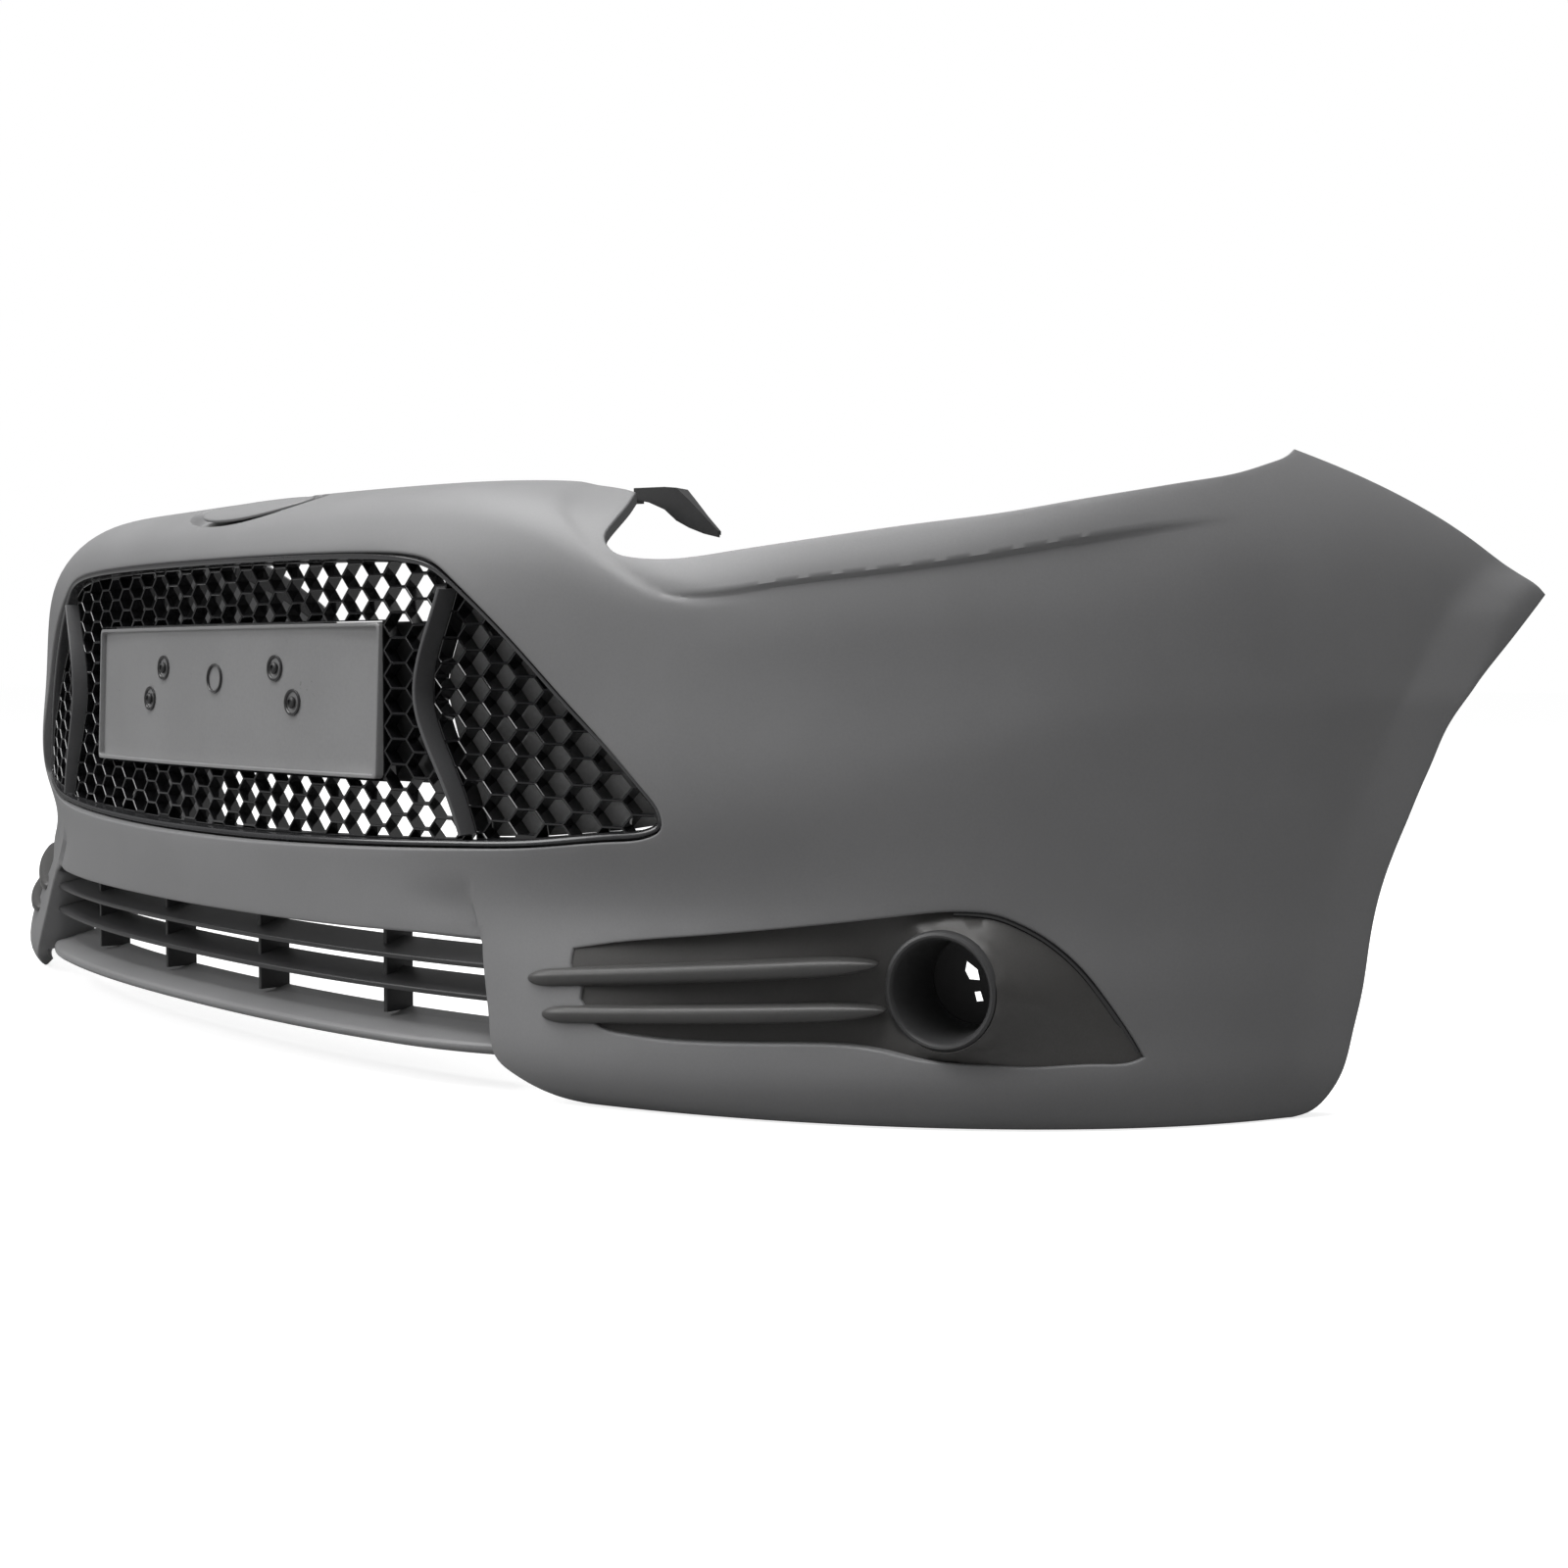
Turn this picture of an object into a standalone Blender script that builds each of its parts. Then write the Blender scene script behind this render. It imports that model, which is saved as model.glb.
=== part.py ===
# Front bumper cover of a compact hatchback, built as separate named parts.
# Metres. +X is across the car, -Y is the front of the car, +Z is up, and the cover stands on z = 0.
# The skin is a surface over two coordinates: s runs along the plan curve (0 at the middle of the car),
# w runs up the cross-section. Every part is laid out in s and height, then mapped onto that surface.

import math
import bpy
import bmesh
import numpy as np
from mathutils import Vector
from mathutils.geometry import delaunay_2d_cdt

for old in list(bpy.data.objects):
    bpy.data.objects.remove(old, do_unlink=True)

# ---------------------------------------------------------------- driving dimensions
SHIFT_Y = -0.3112             # puts the middle of the depth on y = 0
SKIN = 0.0032                 # moulded skin thickness
GAP = 0.0008                  # clearance between neighbouring parts
CELL_PITCH = 0.0275           # honeycomb column pitch
CELL_ROW = 0.0204             # honeycomb row pitch
CELL_WALL = 0.0024            # honeycomb wall
COMB_DEPTH = 0.016            # honeycomb depth, front to back
PLATE_HALF = 0.2515           # number-plate panel, half width
PLATE_LOW = 0.2365            # number-plate panel, lower edge height
PLATE_HIGH = 0.3632           # number-plate panel, upper edge height
FOG_S = 0.750                 # fog tube centre along the plan curve
FOG_Z = 0.0995                # fog tube centre height
FOG_RADIUS = 0.0436           # fog tube outer radius
FOG_BORE = 0.0355             # fog tube bore radius
FOG_DEPTH = 0.062             # fog tube length
FOG_TURN = math.radians(18.0)  # fog tube axis, turned outward from straight ahead
RIVET_STROKE = 0.0055         # travel of an expanding rivet's centre pin

# plan curve of the skin: x across, y back from the number-plate face
PLAN = [(0.0, -0.033), (0.18, -0.0255), (0.35, 0.003), (0.5285, 0.064), (0.645, 0.127), (0.748, 0.208),
        (0.825, 0.300), (0.871, 0.400), (0.893, 0.510), (0.905, 0.640), (0.910, 0.720)]

# cross-section rows: at each station along s, the height and the offset outward from the plan curve
STATIONS = [0.0, 0.20, 0.35, 0.45, 0.53, 0.62, 0.74, 0.86, 0.98, 1.10, 1.22, 1.36]
ROW_W = [0.0, 0.022, 0.062, 0.105, 0.150, 0.215, 0.300, 0.370, 0.405, 0.500]
ROW_Z = [
    [0.0] * 12,
    [.017, .017, .017, .017, .018, .021, .025, .026, .026, .026, .026, .026],
    [.060] * 12,
    [.105] * 12,
    [.150] * 12,
    [.212, .212, .212, .212, .212, .218, .231, .253, .262, .270, .275, .280],
    [.300, .300, .300, .300, .300, .300, .305, .320, .325, .325, .325, .320],
    [.395, .395, .395, .385, .362, .365, .378, .392, .405, .408, .395, .375],
    [.438, .438, .438, .417, .386, .389, .403, .423, .440, .445, .430, .405],
    [.484, .483, .480, .470, .452, .455, .466, .482, .500, .505, .480, .445],
]
ROW_F = [
    [.002, .002, .002, .004, .006, .006, .004, .000, -.004, -.006, -.006, -.006],
    [.012, .012, .014, .018, .018, .016, .013, .007, .001, -.001, -.001, -.001],
    [.014, .014, .014, .015, .015, .013, .010, .006, .002, .000, .000, .000],
    [.010, .010, .008, .002, .002, .004, .005, .004, .002, .000, .000, .000],
    [.008, .006, .000, -.010, -.011, -.007, -.002, .000, .000, .000, .000, .000],
    [.002, .002, .001, .000, .001, .003, .003, .002, .000, .000, .000, .000],
    [.000, .000, .000, .000, .000, .000, .000, .000, -.002, -.002, -.001, .000],
    [-.003, -.003, -.003, -.003, -.004, -.004, -.005, -.008, -.013, -.016, -.010, -.004],
    [-.016, -.016, -.015, -.011, -.009, -.008, -.009, -.014, -.025, -.030, -.022, -.010],
    [-.112, -.110, -.106, -.102, -.080, -.058, -.048, -.050, -.062, -.074, -.060, -.030],
]

# outlines in s and height, right-hand half where symmetric
GRILLE_HALF = [(0.0, .4220), (.10, .4218), (.19, .4210), (.26, .4190), (.300, .4155), (.325, .4095), (.347, .3965),
               (.409, .3480), (.459, .3020), (.501, .2640), (.530, .2345), (.5405, .2190), (.5400, .2090),
               (.5315, .2030), (.499, .1975), (.420, .1895), (.358, .1862), (.289, .1835), (.19, .1805), (.09, .1785),
               (0.0, .1780)]
HEADLAMP = [(.470, .4560), (.4745, .4360), (.4755, .4290), (.480, .4225), (.490, .4150), (.503, .4110), (.522, .4090),
            (.544, .4095), (.580, .4135), (.630, .4195), (.678, .4255), (.735, .4325), (.793, .4395), (.840, .4475),
            (.888, .4555), (.940, .4640), (.989, .4725), (1.025, .4815), (1.050, .4885), (1.064, .4945)]
FENDER = [(1.105, .4840), (1.148, .4710), (1.205, .4490), (1.255, .4240), (1.290, .4020)]
ARCH = [(1.307, .3890), (1.275, .3690), (1.243, .3480), (1.211, .3265), (1.182, .3040), (1.160, .2810), (1.145, .2580),
        (1.131, .2370), (1.119, .2170), (1.103, .1900), (1.091, .1630), (1.081, .1270), (1.074, .0900), (1.066, .0620),
        (1.060, .0420), (1.047, .0150), (1.036, .0045), (1.020, .0000)]
FANG = [(.484, .0), (.461, .0030), (.443, .0095), (.425, .0190), (.408, .0310), (.400, .0520), (.391, .0850),
        (.3835, .1130), (.3790, .1185), (.340, .1190), (.25, .1180), (.12, .1170), (0.0, .1165)]
ARCH_CREASE = [(1.018, .031), (1.037, .127), (1.052, .189), (1.076, .236), (1.116, .301), (1.180, .372), (1.252, .414)]
FOG = [(.465, .1155), (.504, .1225), (.555, .1290), (.604, .1350), (.679, .1450), (.733, .1525), (.755, .1548),
       (.772, .1550), (.790, .1530), (.804, .1480), (.821, .1395), (.836, .1290), (.851, .1150), (.864, .0990),
       (.877, .0810), (.887, .0660), (.8945, .0530), (.889, .0505), (.862, .0485), (.840, .0480), (.805, .0470),
       (.787, .0480), (.770, .0485), (.752, .0495), (.734, .0515), (.709, .0565), (.643, .0585), (.589, .0562),
       (.546, .0560), (.517, .0580), (.495, .0630), (.486, .0710), (.478, .0800), (.478, .0890), (.470, .0950),
       (.465, .1050)]


# ---------------------------------------------------------------- smooth curves through tables
def spline_moments(knots, values):
    """Second derivatives of the natural cubic spline through the knots."""
    count = len(knots)
    step = np.diff(knots)
    lhs = np.eye(count)
    rhs = np.zeros((count,) + values.shape[1:])
    for i in range(1, count - 1):
        lhs[i, i - 1] = step[i - 1]
        lhs[i, i] = 2 * (step[i - 1] + step[i])
        lhs[i, i + 1] = step[i]
        rhs[i] = 6 * ((values[i + 1] - values[i]) / step[i] - (values[i] - values[i - 1]) / step[i - 1])
    return np.linalg.solve(lhs, rhs.reshape(count, -1)).reshape(rhs.shape)


def spline(knots, values, moments, at):
    i = np.clip(np.searchsorted(knots, at) - 1, 0, len(knots) - 2)
    step = knots[i + 1] - knots[i]
    a = (knots[i + 1] - at) / step
    b = (at - knots[i]) / step
    extra = values.ndim - 1
    grow = (...,) + (None,) * extra
    cubic = (a ** 3 - a)[grow] * moments[i] + (b ** 3 - b)[grow] * moments[i + 1]
    return a[grow] * values[i] + b[grow] * values[i + 1] + cubic * (step ** 2 / 6)[grow]


half = np.array(PLAN)
full_plan = np.vstack([half[:0:-1] * [-1, 1], half])
chord = np.concatenate([[0], np.cumsum(np.hypot(*np.diff(full_plan, axis=0).T))])
chord -= chord[len(half) - 1]
fine_chord = np.linspace(chord[0], chord[-1], 6001)
plan_line = spline(chord, full_plan, spline_moments(chord, full_plan), fine_chord)
plan_s = np.concatenate([[0], np.cumsum(np.hypot(*np.diff(plan_line, axis=0).T))])
plan_s -= np.interp(0, fine_chord, plan_s)
plan_t = np.gradient(plan_line, plan_s, axis=0)
plan_t /= np.linalg.norm(plan_t, axis=1)[:, None]

stations = np.array(STATIONS)
mirrored = np.concatenate([-stations[:0:-1], stations])
rows = np.stack([np.array(ROW_Z).T, np.array(ROW_F).T], axis=-1)
rows = np.concatenate([rows[:0:-1], rows])
row_moments = spline_moments(mirrored, rows)
row_w = np.array(ROW_W)
row_solver = spline_moments(row_w, np.eye(len(row_w)))
crease = np.array(ARCH_CREASE)


def plan_point(s, off):
    """Point of the plan curve moved outward, and the outward direction."""
    s = np.asarray(s, float)
    tx = np.interp(s, plan_s, plan_t[:, 0])
    ty = np.interp(s, plan_s, plan_t[:, 1])
    x = np.interp(s, plan_s, plan_line[:, 0]) + off * ty
    y = np.interp(s, plan_s, plan_line[:, 1]) - off * tx
    return x, y + SHIFT_Y


def at_height(s, z, off=0.0):
    """Point at height z on the upright wall that stands on the plan curve."""
    x, y = plan_point(s, off)
    return np.stack([x, y, np.broadcast_to(np.asarray(z, float), x.shape)], axis=-1)


def section(s, w):
    """Height and outward offset of the skin at s and w."""
    table = spline(mirrored, rows, row_moments, np.asarray(s, float))
    bend = np.einsum('ij,njk->nik', row_solver, table)
    i = np.clip(np.searchsorted(row_w, w) - 1, 0, len(row_w) - 2)
    step = row_w[i + 1] - row_w[i]
    a = (row_w[i + 1] - w) / step
    b = (w - row_w[i]) / step
    n = np.arange(len(i))
    line = a[:, None] * table[n, i] + b[:, None] * table[n, i + 1]
    cubic = (a ** 3 - a)[:, None] * bend[n, i] + (b ** 3 - b)[:, None] * bend[n, i + 1]
    line = line + cubic * (step ** 2 / 6)[:, None]
    z = line[:, 0]
    flare = np.clip((np.abs(s) - np.interp(z, crease[:, 1], crease[:, 0])) / 0.05, 0, 1.3)
    flare = flare * np.clip((0.425 - z) / 0.03, 0, 1)
    return z, line[:, 1] + 0.009 * flare


def skin_point(s, w):
    s = np.asarray(s, float)
    z, off = section(s, np.asarray(w, float))
    x, y = plan_point(s, off)
    return np.stack([x, y, z], axis=-1)


def skin_normal(s, w):
    e = 0.002
    along = skin_point(s + e, w) - skin_point(s - e, w)
    up = skin_point(s, w + e) - skin_point(s, w - e)
    n = np.cross(along, up)
    return n / np.linalg.norm(n, axis=1)[:, None]


def w_of(s, z):
    """The w at which the skin reaches height z, at each s."""
    ladder = np.linspace(0, 0.5, 251)
    out = []
    for one_s, one_z in zip(s, z):
        heights, _ = section(np.full(ladder.shape, one_s), ladder)
        out.append(np.interp(one_z, np.maximum.accumulate(heights), ladder))
    return np.array(out)


def skin_offset(s, z):
    s = np.atleast_1d(np.asarray(s, float))
    z = np.atleast_1d(np.asarray(z, float))
    return section(s, w_of(s, z))[1]


# ---------------------------------------------------------------- mesh helpers
def material(slot, color, rough, metal=0.0, coat=0.0):
    made = bpy.data.materials.get(slot)
    if made:
        return made
    made = bpy.data.materials.new(slot)
    made.use_nodes = True
    shader = made.node_tree.nodes['Principled BSDF']
    shader.inputs['Base Color'].default_value = (*color, 1)
    shader.inputs['Roughness'].default_value = rough
    shader.inputs['Metallic'].default_value = metal
    shader.inputs['Coat Weight'].default_value = coat
    made.diffuse_color = (*color, 1)
    return made


LOOKS = {
    'primer': ((0.20, 0.20, 0.205), 0.48, 0.0, 0.0),
    'gloss_black': ((0.012, 0.012, 0.013), 0.14, 0.0, 0.6),
    'trim_satin': ((0.035, 0.035, 0.037), 0.42, 0.0, 0.0),
    'plate_satin': ((0.11, 0.11, 0.115), 0.35, 0.0, 0.0),
    'rim_grey': ((0.09, 0.09, 0.095), 0.28, 0.0, 0.2),
    'lip_grey': ((0.09, 0.09, 0.092), 0.4, 0.0, 0.0),
    'fastener_black': ((0.02, 0.02, 0.022), 0.5, 0.0, 0.0),
    'bracket_black': ((0.05, 0.05, 0.052), 0.55, 0.0, 0.0),
}


def finish(name, verts, faces, slot, smooth=False):
    mesh = bpy.data.meshes.new(name)
    mesh.from_pydata([tuple(v) for v in np.asarray(verts, float)], [], [tuple(f) for f in faces])
    edit = bmesh.new()
    edit.from_mesh(mesh)
    bmesh.ops.recalc_face_normals(edit, faces=edit.faces)
    bmesh.ops.triangulate(edit, faces=edit.faces)
    edit.to_mesh(mesh)
    edit.free()
    made = bpy.data.objects.new(name, mesh)
    bpy.context.scene.collection.objects.link(made)
    mesh.materials.append(material(slot, *LOOKS[slot]))
    if smooth:
        mesh.shade_smooth()
    return made


def inside(points, loop):
    """True for each point that lies inside the closed loop."""
    x = points[:, 0][:, None]
    y = points[:, 1][:, None]
    a = loop
    b = np.roll(loop, -1, axis=0)
    crosses = (a[:, 1] > y) != (b[:, 1] > y)
    slope = (b[:, 0] - a[:, 0]) * (y - a[:, 1]) / np.where(b[:, 1] == a[:, 1], 1e-12, b[:, 1] - a[:, 1]) + a[:, 0]
    return (np.sum(crosses & (x < slope), axis=1) % 2) == 1


def edge_distance(points, loop):
    a = loop[None]
    d = np.roll(loop, -1, axis=0)[None] - a
    t = np.clip(np.sum((points[:, None] - a) * d, -1) / np.maximum(np.sum(d * d, -1), 1e-12), 0, 1)
    return np.min(np.linalg.norm(points[:, None] - (a + t[..., None] * d), axis=-1), axis=1)


def fill(outer, holes, inner_points):
    """Triangles over a region with holes. Returns points, triangles and the index loops of its edges."""
    loops = [np.asarray(outer, float)] + [np.asarray(h, float) for h in holes]
    points = [Vector(p) for loop in loops for p in loop] + [Vector(p) for p in inner_points]
    edges = []
    first = 0
    index_loops = []
    for loop in loops:
        count = len(loop)
        edges += [(first + k, first + (k + 1) % count) for k in range(count)]
        index_loops.append(list(range(first, first + count)))
        first += count
    out = delaunay_2d_cdt(points, edges, [], 0, 1e-7)
    flat = np.array([tuple(v) for v in out[0]])
    tris = np.array([list(f) for f in out[2]])
    middle = flat[tris].mean(axis=1)
    keep = inside(middle, loops[0])
    for hole in loops[1:]:
        keep &= ~inside(middle, hole)
    tris = tris[keep]
    a, b, c = flat[tris[:, 0]], flat[tris[:, 1]], flat[tris[:, 2]]
    turn = (b[:, 0] - a[:, 0]) * (c[:, 1] - a[:, 1]) - (b[:, 1] - a[:, 1]) * (c[:, 0] - a[:, 0])
    tris[turn < 0] = tris[turn < 0][:, ::-1]
    order = {}
    for new, originals in enumerate(out[3]):
        for k in originals:
            order[k] = new
    index_loops = [[order[k] for k in loop] for loop in index_loops]
    return flat, tris, index_loops


def grid_inside(outer, holes, step_s, step_w, margin):
    outer = np.asarray(outer, float)
    low, high = outer.min(0), outer.max(0)
    s = np.arange(math.ceil(low[0] / step_s), math.floor(high[0] / step_s) + 1) * step_s
    w = np.arange(math.ceil(low[1] / step_w), math.floor(high[1] / step_w) + 1) * step_w
    points = np.stack(np.meshgrid(s, w), -1).reshape(-1, 2)
    keep = inside(points, outer) & (edge_distance(points, outer) > margin)
    for hole in holes:
        hole = np.asarray(hole, float)
        keep &= ~inside(points, hole) & (edge_distance(points, hole) > margin)
    return points[keep]


def slab(name, outer, holes, inner_points, front, back, slot, smooth=False):
    """Closed slab over a region: front and back give the two faces as functions of the region's points."""
    flat, tris, loops = fill(outer, holes, inner_points)
    used = np.unique(np.concatenate([tris.ravel()] + [np.array(l) for l in loops]))
    renumber = -np.ones(len(flat), int)
    renumber[used] = np.arange(len(used))
    flat = flat[used]
    tris = renumber[tris]
    count = len(flat)
    verts = np.vstack([front(flat[:, 0], flat[:, 1]), back(flat[:, 0], flat[:, 1])])
    faces = [tuple(t) for t in tris] + [tuple(t[::-1] + count) for t in tris]
    for loop in loops:
        loop = [renumber[k] for k in loop]
        for a, b in zip(loop, loop[1:] + loop[:1]):
            faces.append((a, a + count, b + count, b))
    return finish(name, verts, faces, slot, smooth)


def ring_tube(name, sections, slot, close_ends=False, smooth=False):
    """Joins equal cross-sections into a closed tube; the last joins the first unless the ends are closed."""
    sections = [np.asarray(c, float) for c in sections]
    count = len(sections[0])
    verts = np.vstack(sections)
    faces = []
    last = len(sections) - 1 if close_ends else len(sections)
    for i in range(last):
        j = (i + 1) % len(sections)
        for k in range(count):
            m = (k + 1) % count
            faces.append((i * count + k, i * count + m, j * count + m, j * count + k))
    if close_ends:
        faces.append(tuple(range(count))[::-1])
        faces.append(tuple((len(sections) - 1) * count + k for k in range(count)))
    return finish(name, verts, faces, slot, smooth)


def lathe(name, profile, centre, axis, slot, sides=16, smooth=True):
    """Turns a closed profile of (radius, distance along the axis) about an axis. Radius 0 closes it."""
    axis = Vector(axis).normalized()
    side = axis.orthogonal().normalized()
    other = axis.cross(side)
    centre = Vector(centre)
    verts = []
    index = []
    for radius, along in profile:
        if radius == 0:
            index.append([len(verts)] * sides)
            verts.append(centre + axis * along)
            continue
        index.append(list(range(len(verts), len(verts) + sides)))
        for k in range(sides):
            turn = 2 * math.pi * k / sides
            verts.append(centre + axis * along + radius * (side * math.cos(turn) + other * math.sin(turn)))
    faces = []
    closed = profile[0][0] != 0 and profile[-1][0] != 0
    pairs = list(zip(index, index[1:])) + ([(index[-1], index[0])] if closed else [])
    for a, b in pairs:
        for k in range(sides):
            m = (k + 1) % sides
            corner = [a[k], a[m], b[m], b[k]]
            face = list(dict.fromkeys(corner))
            if len(face) > 2:
                faces.append(face)
    return finish(name, [tuple(v) for v in verts], faces, slot, smooth)


def mirror_half(half_loop):
    """A closed loop, symmetric about s = 0, from its right-hand half (first and last points on s = 0)."""
    right = list(half_loop)
    left = [(-s, z) for s, z in right[1:-1]]
    return np.array(right + left[::-1])


def shrink(loop, amount):
    """Moves a closed loop inward by the amount, corner by corner."""
    loop = np.asarray(loop, float)
    area = np.sum(loop[:, 0] * np.roll(loop[:, 1], -1) - np.roll(loop[:, 0], -1) * loop[:, 1])
    before = loop - np.roll(loop, 1, axis=0)
    after = np.roll(loop, -1, axis=0) - loop
    before /= np.linalg.norm(before, axis=1)[:, None]
    after /= np.linalg.norm(after, axis=1)[:, None]
    n1 = np.stack([-before[:, 1], before[:, 0]], -1)
    n2 = np.stack([-after[:, 1], after[:, 0]], -1)
    n = n1 + n2
    n /= np.linalg.norm(n, axis=1)[:, None]
    reach = amount / np.maximum(np.sum(n * n1, -1), 0.45)
    return loop + n * reach[:, None] * (1 if area > 0 else -1)


# ---------------------------------------------------------------- the moulded skin
def skin_outer():
    s_top = [0.0, 0.06, 0.12, 0.18, 0.24, 0.30, 0.36, 0.41, 0.452]
    right = [(s, 0.5) for s in s_top]
    rest = [(.463, .4725 - 0.006)] + HEADLAMP + FENDER + ARCH
    base = [(s, 0.0) for s in (0.97, 0.91, 0.85, 0.79, 0.73, 0.67, 0.61, 0.55, 0.51)]
    low = rest + base + FANG
    w = w_of(np.array([p[0] for p in low]), np.array([p[1] for p in low]))
    right += [(p[0], float(q)) for p, q in zip(low, w)]
    return mirror_half(right)


def to_sw(loop):
    loop = np.asarray(loop, float)
    return np.stack([loop[:, 0], w_of(loop[:, 0], loop[:, 1])], -1)


grille_loop = mirror_half(GRILLE_HALF)
fog_right = np.array(FOG)
fog_left = fog_right * [-1, 1]
skin_loop = skin_outer()
skin_holes = [to_sw(grille_loop), to_sw(fog_right), to_sw(fog_left)]


def flange_depth(s, w, which):
    if which == 0:
        s = np.abs(s)
        near_fang = (s < 0.412) & (s > 0.376) & (w < 0.13)
        under_band = (s < 0.3765) & (w < 0.13)
        arch = (s > 1.02) & (w < 0.40)
        top = (w > 0.49) & (s < 0.46)
        depth = np.full(len(s), 0.010)
        depth[near_fang] = 0.052
        depth[under_band] = 0.014
        depth[arch] = 0.024
        depth[top] = 0.010
        return depth
    if which == 1:
        return np.full(len(s), 0.012)
    return np.full(len(s), 0.011)


def build_skin():
    inner_points = grid_inside(skin_loop, skin_holes, 0.046, 0.034, 0.013)
    flat, tris, loops = fill(skin_loop, skin_holes, inner_points)
    s, w = flat[:, 0], flat[:, 1]
    front = skin_point(s, w)
    normal = skin_normal(s, w)
    back = front - normal * SKIN
    count = len(flat)
    verts = [front, back]
    faces = [tuple(t) for t in tris] + [tuple(t[::-1] + count) for t in tris]
    base = 2 * count
    for which, loop in enumerate(loops):
        loop = np.array(loop)
        p = front[loop]
        n = normal[loop]
        ahead = np.roll(p, -1, axis=0) - p
        behind = p - np.roll(p, 1, axis=0)
        ahead /= np.linalg.norm(ahead, axis=1)[:, None]
        behind /= np.linalg.norm(behind, axis=1)[:, None]
        m1 = np.cross(n, ahead)
        m2 = np.cross(n, behind)
        m = m1 + m2
        m /= np.linalg.norm(m, axis=1)[:, None]
        reach = SKIN / np.maximum(np.sum(m * m1, -1), 0.6)
        mid = flat[loop]
        sign = 1.0
        area = np.sum(mid[:, 0] * np.roll(mid[:, 1], -1) - np.roll(mid[:, 0], -1) * mid[:, 1])
        if (area > 0) != (which == 0):
            sign = -1.0
        m = m * sign * reach[:, None]
        depth = flange_depth(flat[loop, 0], flat[loop, 1], which)
        inward = -n
        if which > 0:
            # the rims of openings run straight back, level with the ground
            level = at_height(flat[loop, 0], p[:, 2], 0.0) - at_height(flat[loop, 0], p[:, 2], 1.0)
            inward = level
        end_out = p + inward * depth[:, None]
        end_in = end_out + m
        back[loop] = p - n * SKIN + m
        size = len(loop)
        verts += [end_out, end_in]
        for k in range(size):
            j = (k + 1) % size
            a, b = loop[k], loop[j]
            faces.append((a, base + k, base + j, b))
            faces.append((base + k, base + size + k, base + size + j, base + j))
            faces.append((base + size + k, a + count, b + count, base + size + j))
        base += 2 * size
    return finish('fascia_skin', np.vstack(verts), faces, 'primer', smooth=False)


build_skin()


# ---------------------------------------------------------------- upper grille
def surround(name, loop, near, far, front_off, back_off, slot):
    a = shrink(loop, near)
    b = shrink(loop, far)
    corners = [at_height(a[:, 0], a[:, 1], front_off), at_height(b[:, 0], b[:, 1], front_off - 0.002),
               at_height(b[:, 0], b[:, 1], back_off), at_height(a[:, 0], a[:, 1], back_off)]
    return ring_tube(name, list(np.stack(corners, axis=1)), slot)


surround('grille_surround', grille_loop, GAP, 0.0062, -0.003, -0.024, 'rim_grey')

# divider bars: three points of the centre line, from the lower rim to the upper rim
DIVIDER = [(.3575, .1965), (.345, .2260), (.3235, .2650), (.3095, .3060), (.3130, .3300), (.3290, .3700), (.3365, .3885)]
DIVIDER_HALF = 0.0019
divider = np.array(DIVIDER)


def beside(line, amount):
    ahead = np.gradient(line, axis=0)
    ahead /= np.linalg.norm(ahead, axis=1)[:, None]
    return line + np.stack([ahead[:, 1], -ahead[:, 0]], -1) * amount


def region_inside_rim(clear):
    return shrink(grille_loop, 0.0062 + clear)


rim_inner = region_inside_rim(0.0005)


def cut_loop(loop, line, keep_right):
    """Cuts a closed loop with a nearly upright line and keeps the part right or left of it."""
    at_line = np.interp(loop[:, 1], line[:, 1], line[:, 0])
    side = loop[:, 0] - at_line
    keep = side > 0 if keep_right else side < 0
    out = []
    count = len(loop)
    for k in range(count):
        j = (k + 1) % count
        if keep[k]:
            out.append(tuple(loop[k]))
        if keep[k] != keep[j]:
            t = side[k] / (side[k] - side[j])
            cross = loop[k] + t * (loop[j] - loop[k])
            out.append(tuple(cross))
            if keep[k]:
                first_cut = tuple(cross)
                mark = len(out)
            else:
                second_cut = tuple(cross)
    low = min(first_cut[1], second_cut[1])
    high = max(first_cut[1], second_cut[1])
    between = [tuple(p) for p in line if low + 0.004 < p[1] < high - 0.004]
    if first_cut[1] > second_cut[1]:
        between = between[::-1]
    return np.array(out[:mark] + between + out[mark:])


def hex_cells(region, blocks, shift, margin):
    """Hexagonal holes on a staggered pitch that lie wholly inside the region and outside the blocks."""
    tip = CELL_PITCH * 2 / 3 - CELL_WALL * 0.5
    flat_half = tip / 2
    rise = CELL_ROW / 2 - CELL_WALL * 0.5
    shape = np.array([(tip, 0), (flat_half, rise), (-flat_half, rise), (-tip, 0), (-flat_half, -rise), (flat_half, -rise)])
    low, high = region.min(0), region.max(0)
    cells = []
    first = math.floor((low[0] - shift[0]) / CELL_PITCH)
    last = math.ceil((high[0] - shift[0]) / CELL_PITCH)
    for column in range(first, last + 1):
        up = 0.5 * CELL_ROW * (column % 2)
        row_first = math.floor((low[1] - shift[1]) / CELL_ROW) - 1
        row_last = math.ceil((high[1] - shift[1]) / CELL_ROW) + 1
        for row in range(row_first, row_last + 1):
            cell = shape + [shift[0] + column * CELL_PITCH, shift[1] + row * CELL_ROW + up]
            if not inside(cell, region).all() or edge_distance(cell, region).min() < margin:
                continue
            if any(inside(cell, b).any() or edge_distance(cell, b).min() < margin for b in blocks):
                continue
            cells.append(cell)
    return cells


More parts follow.
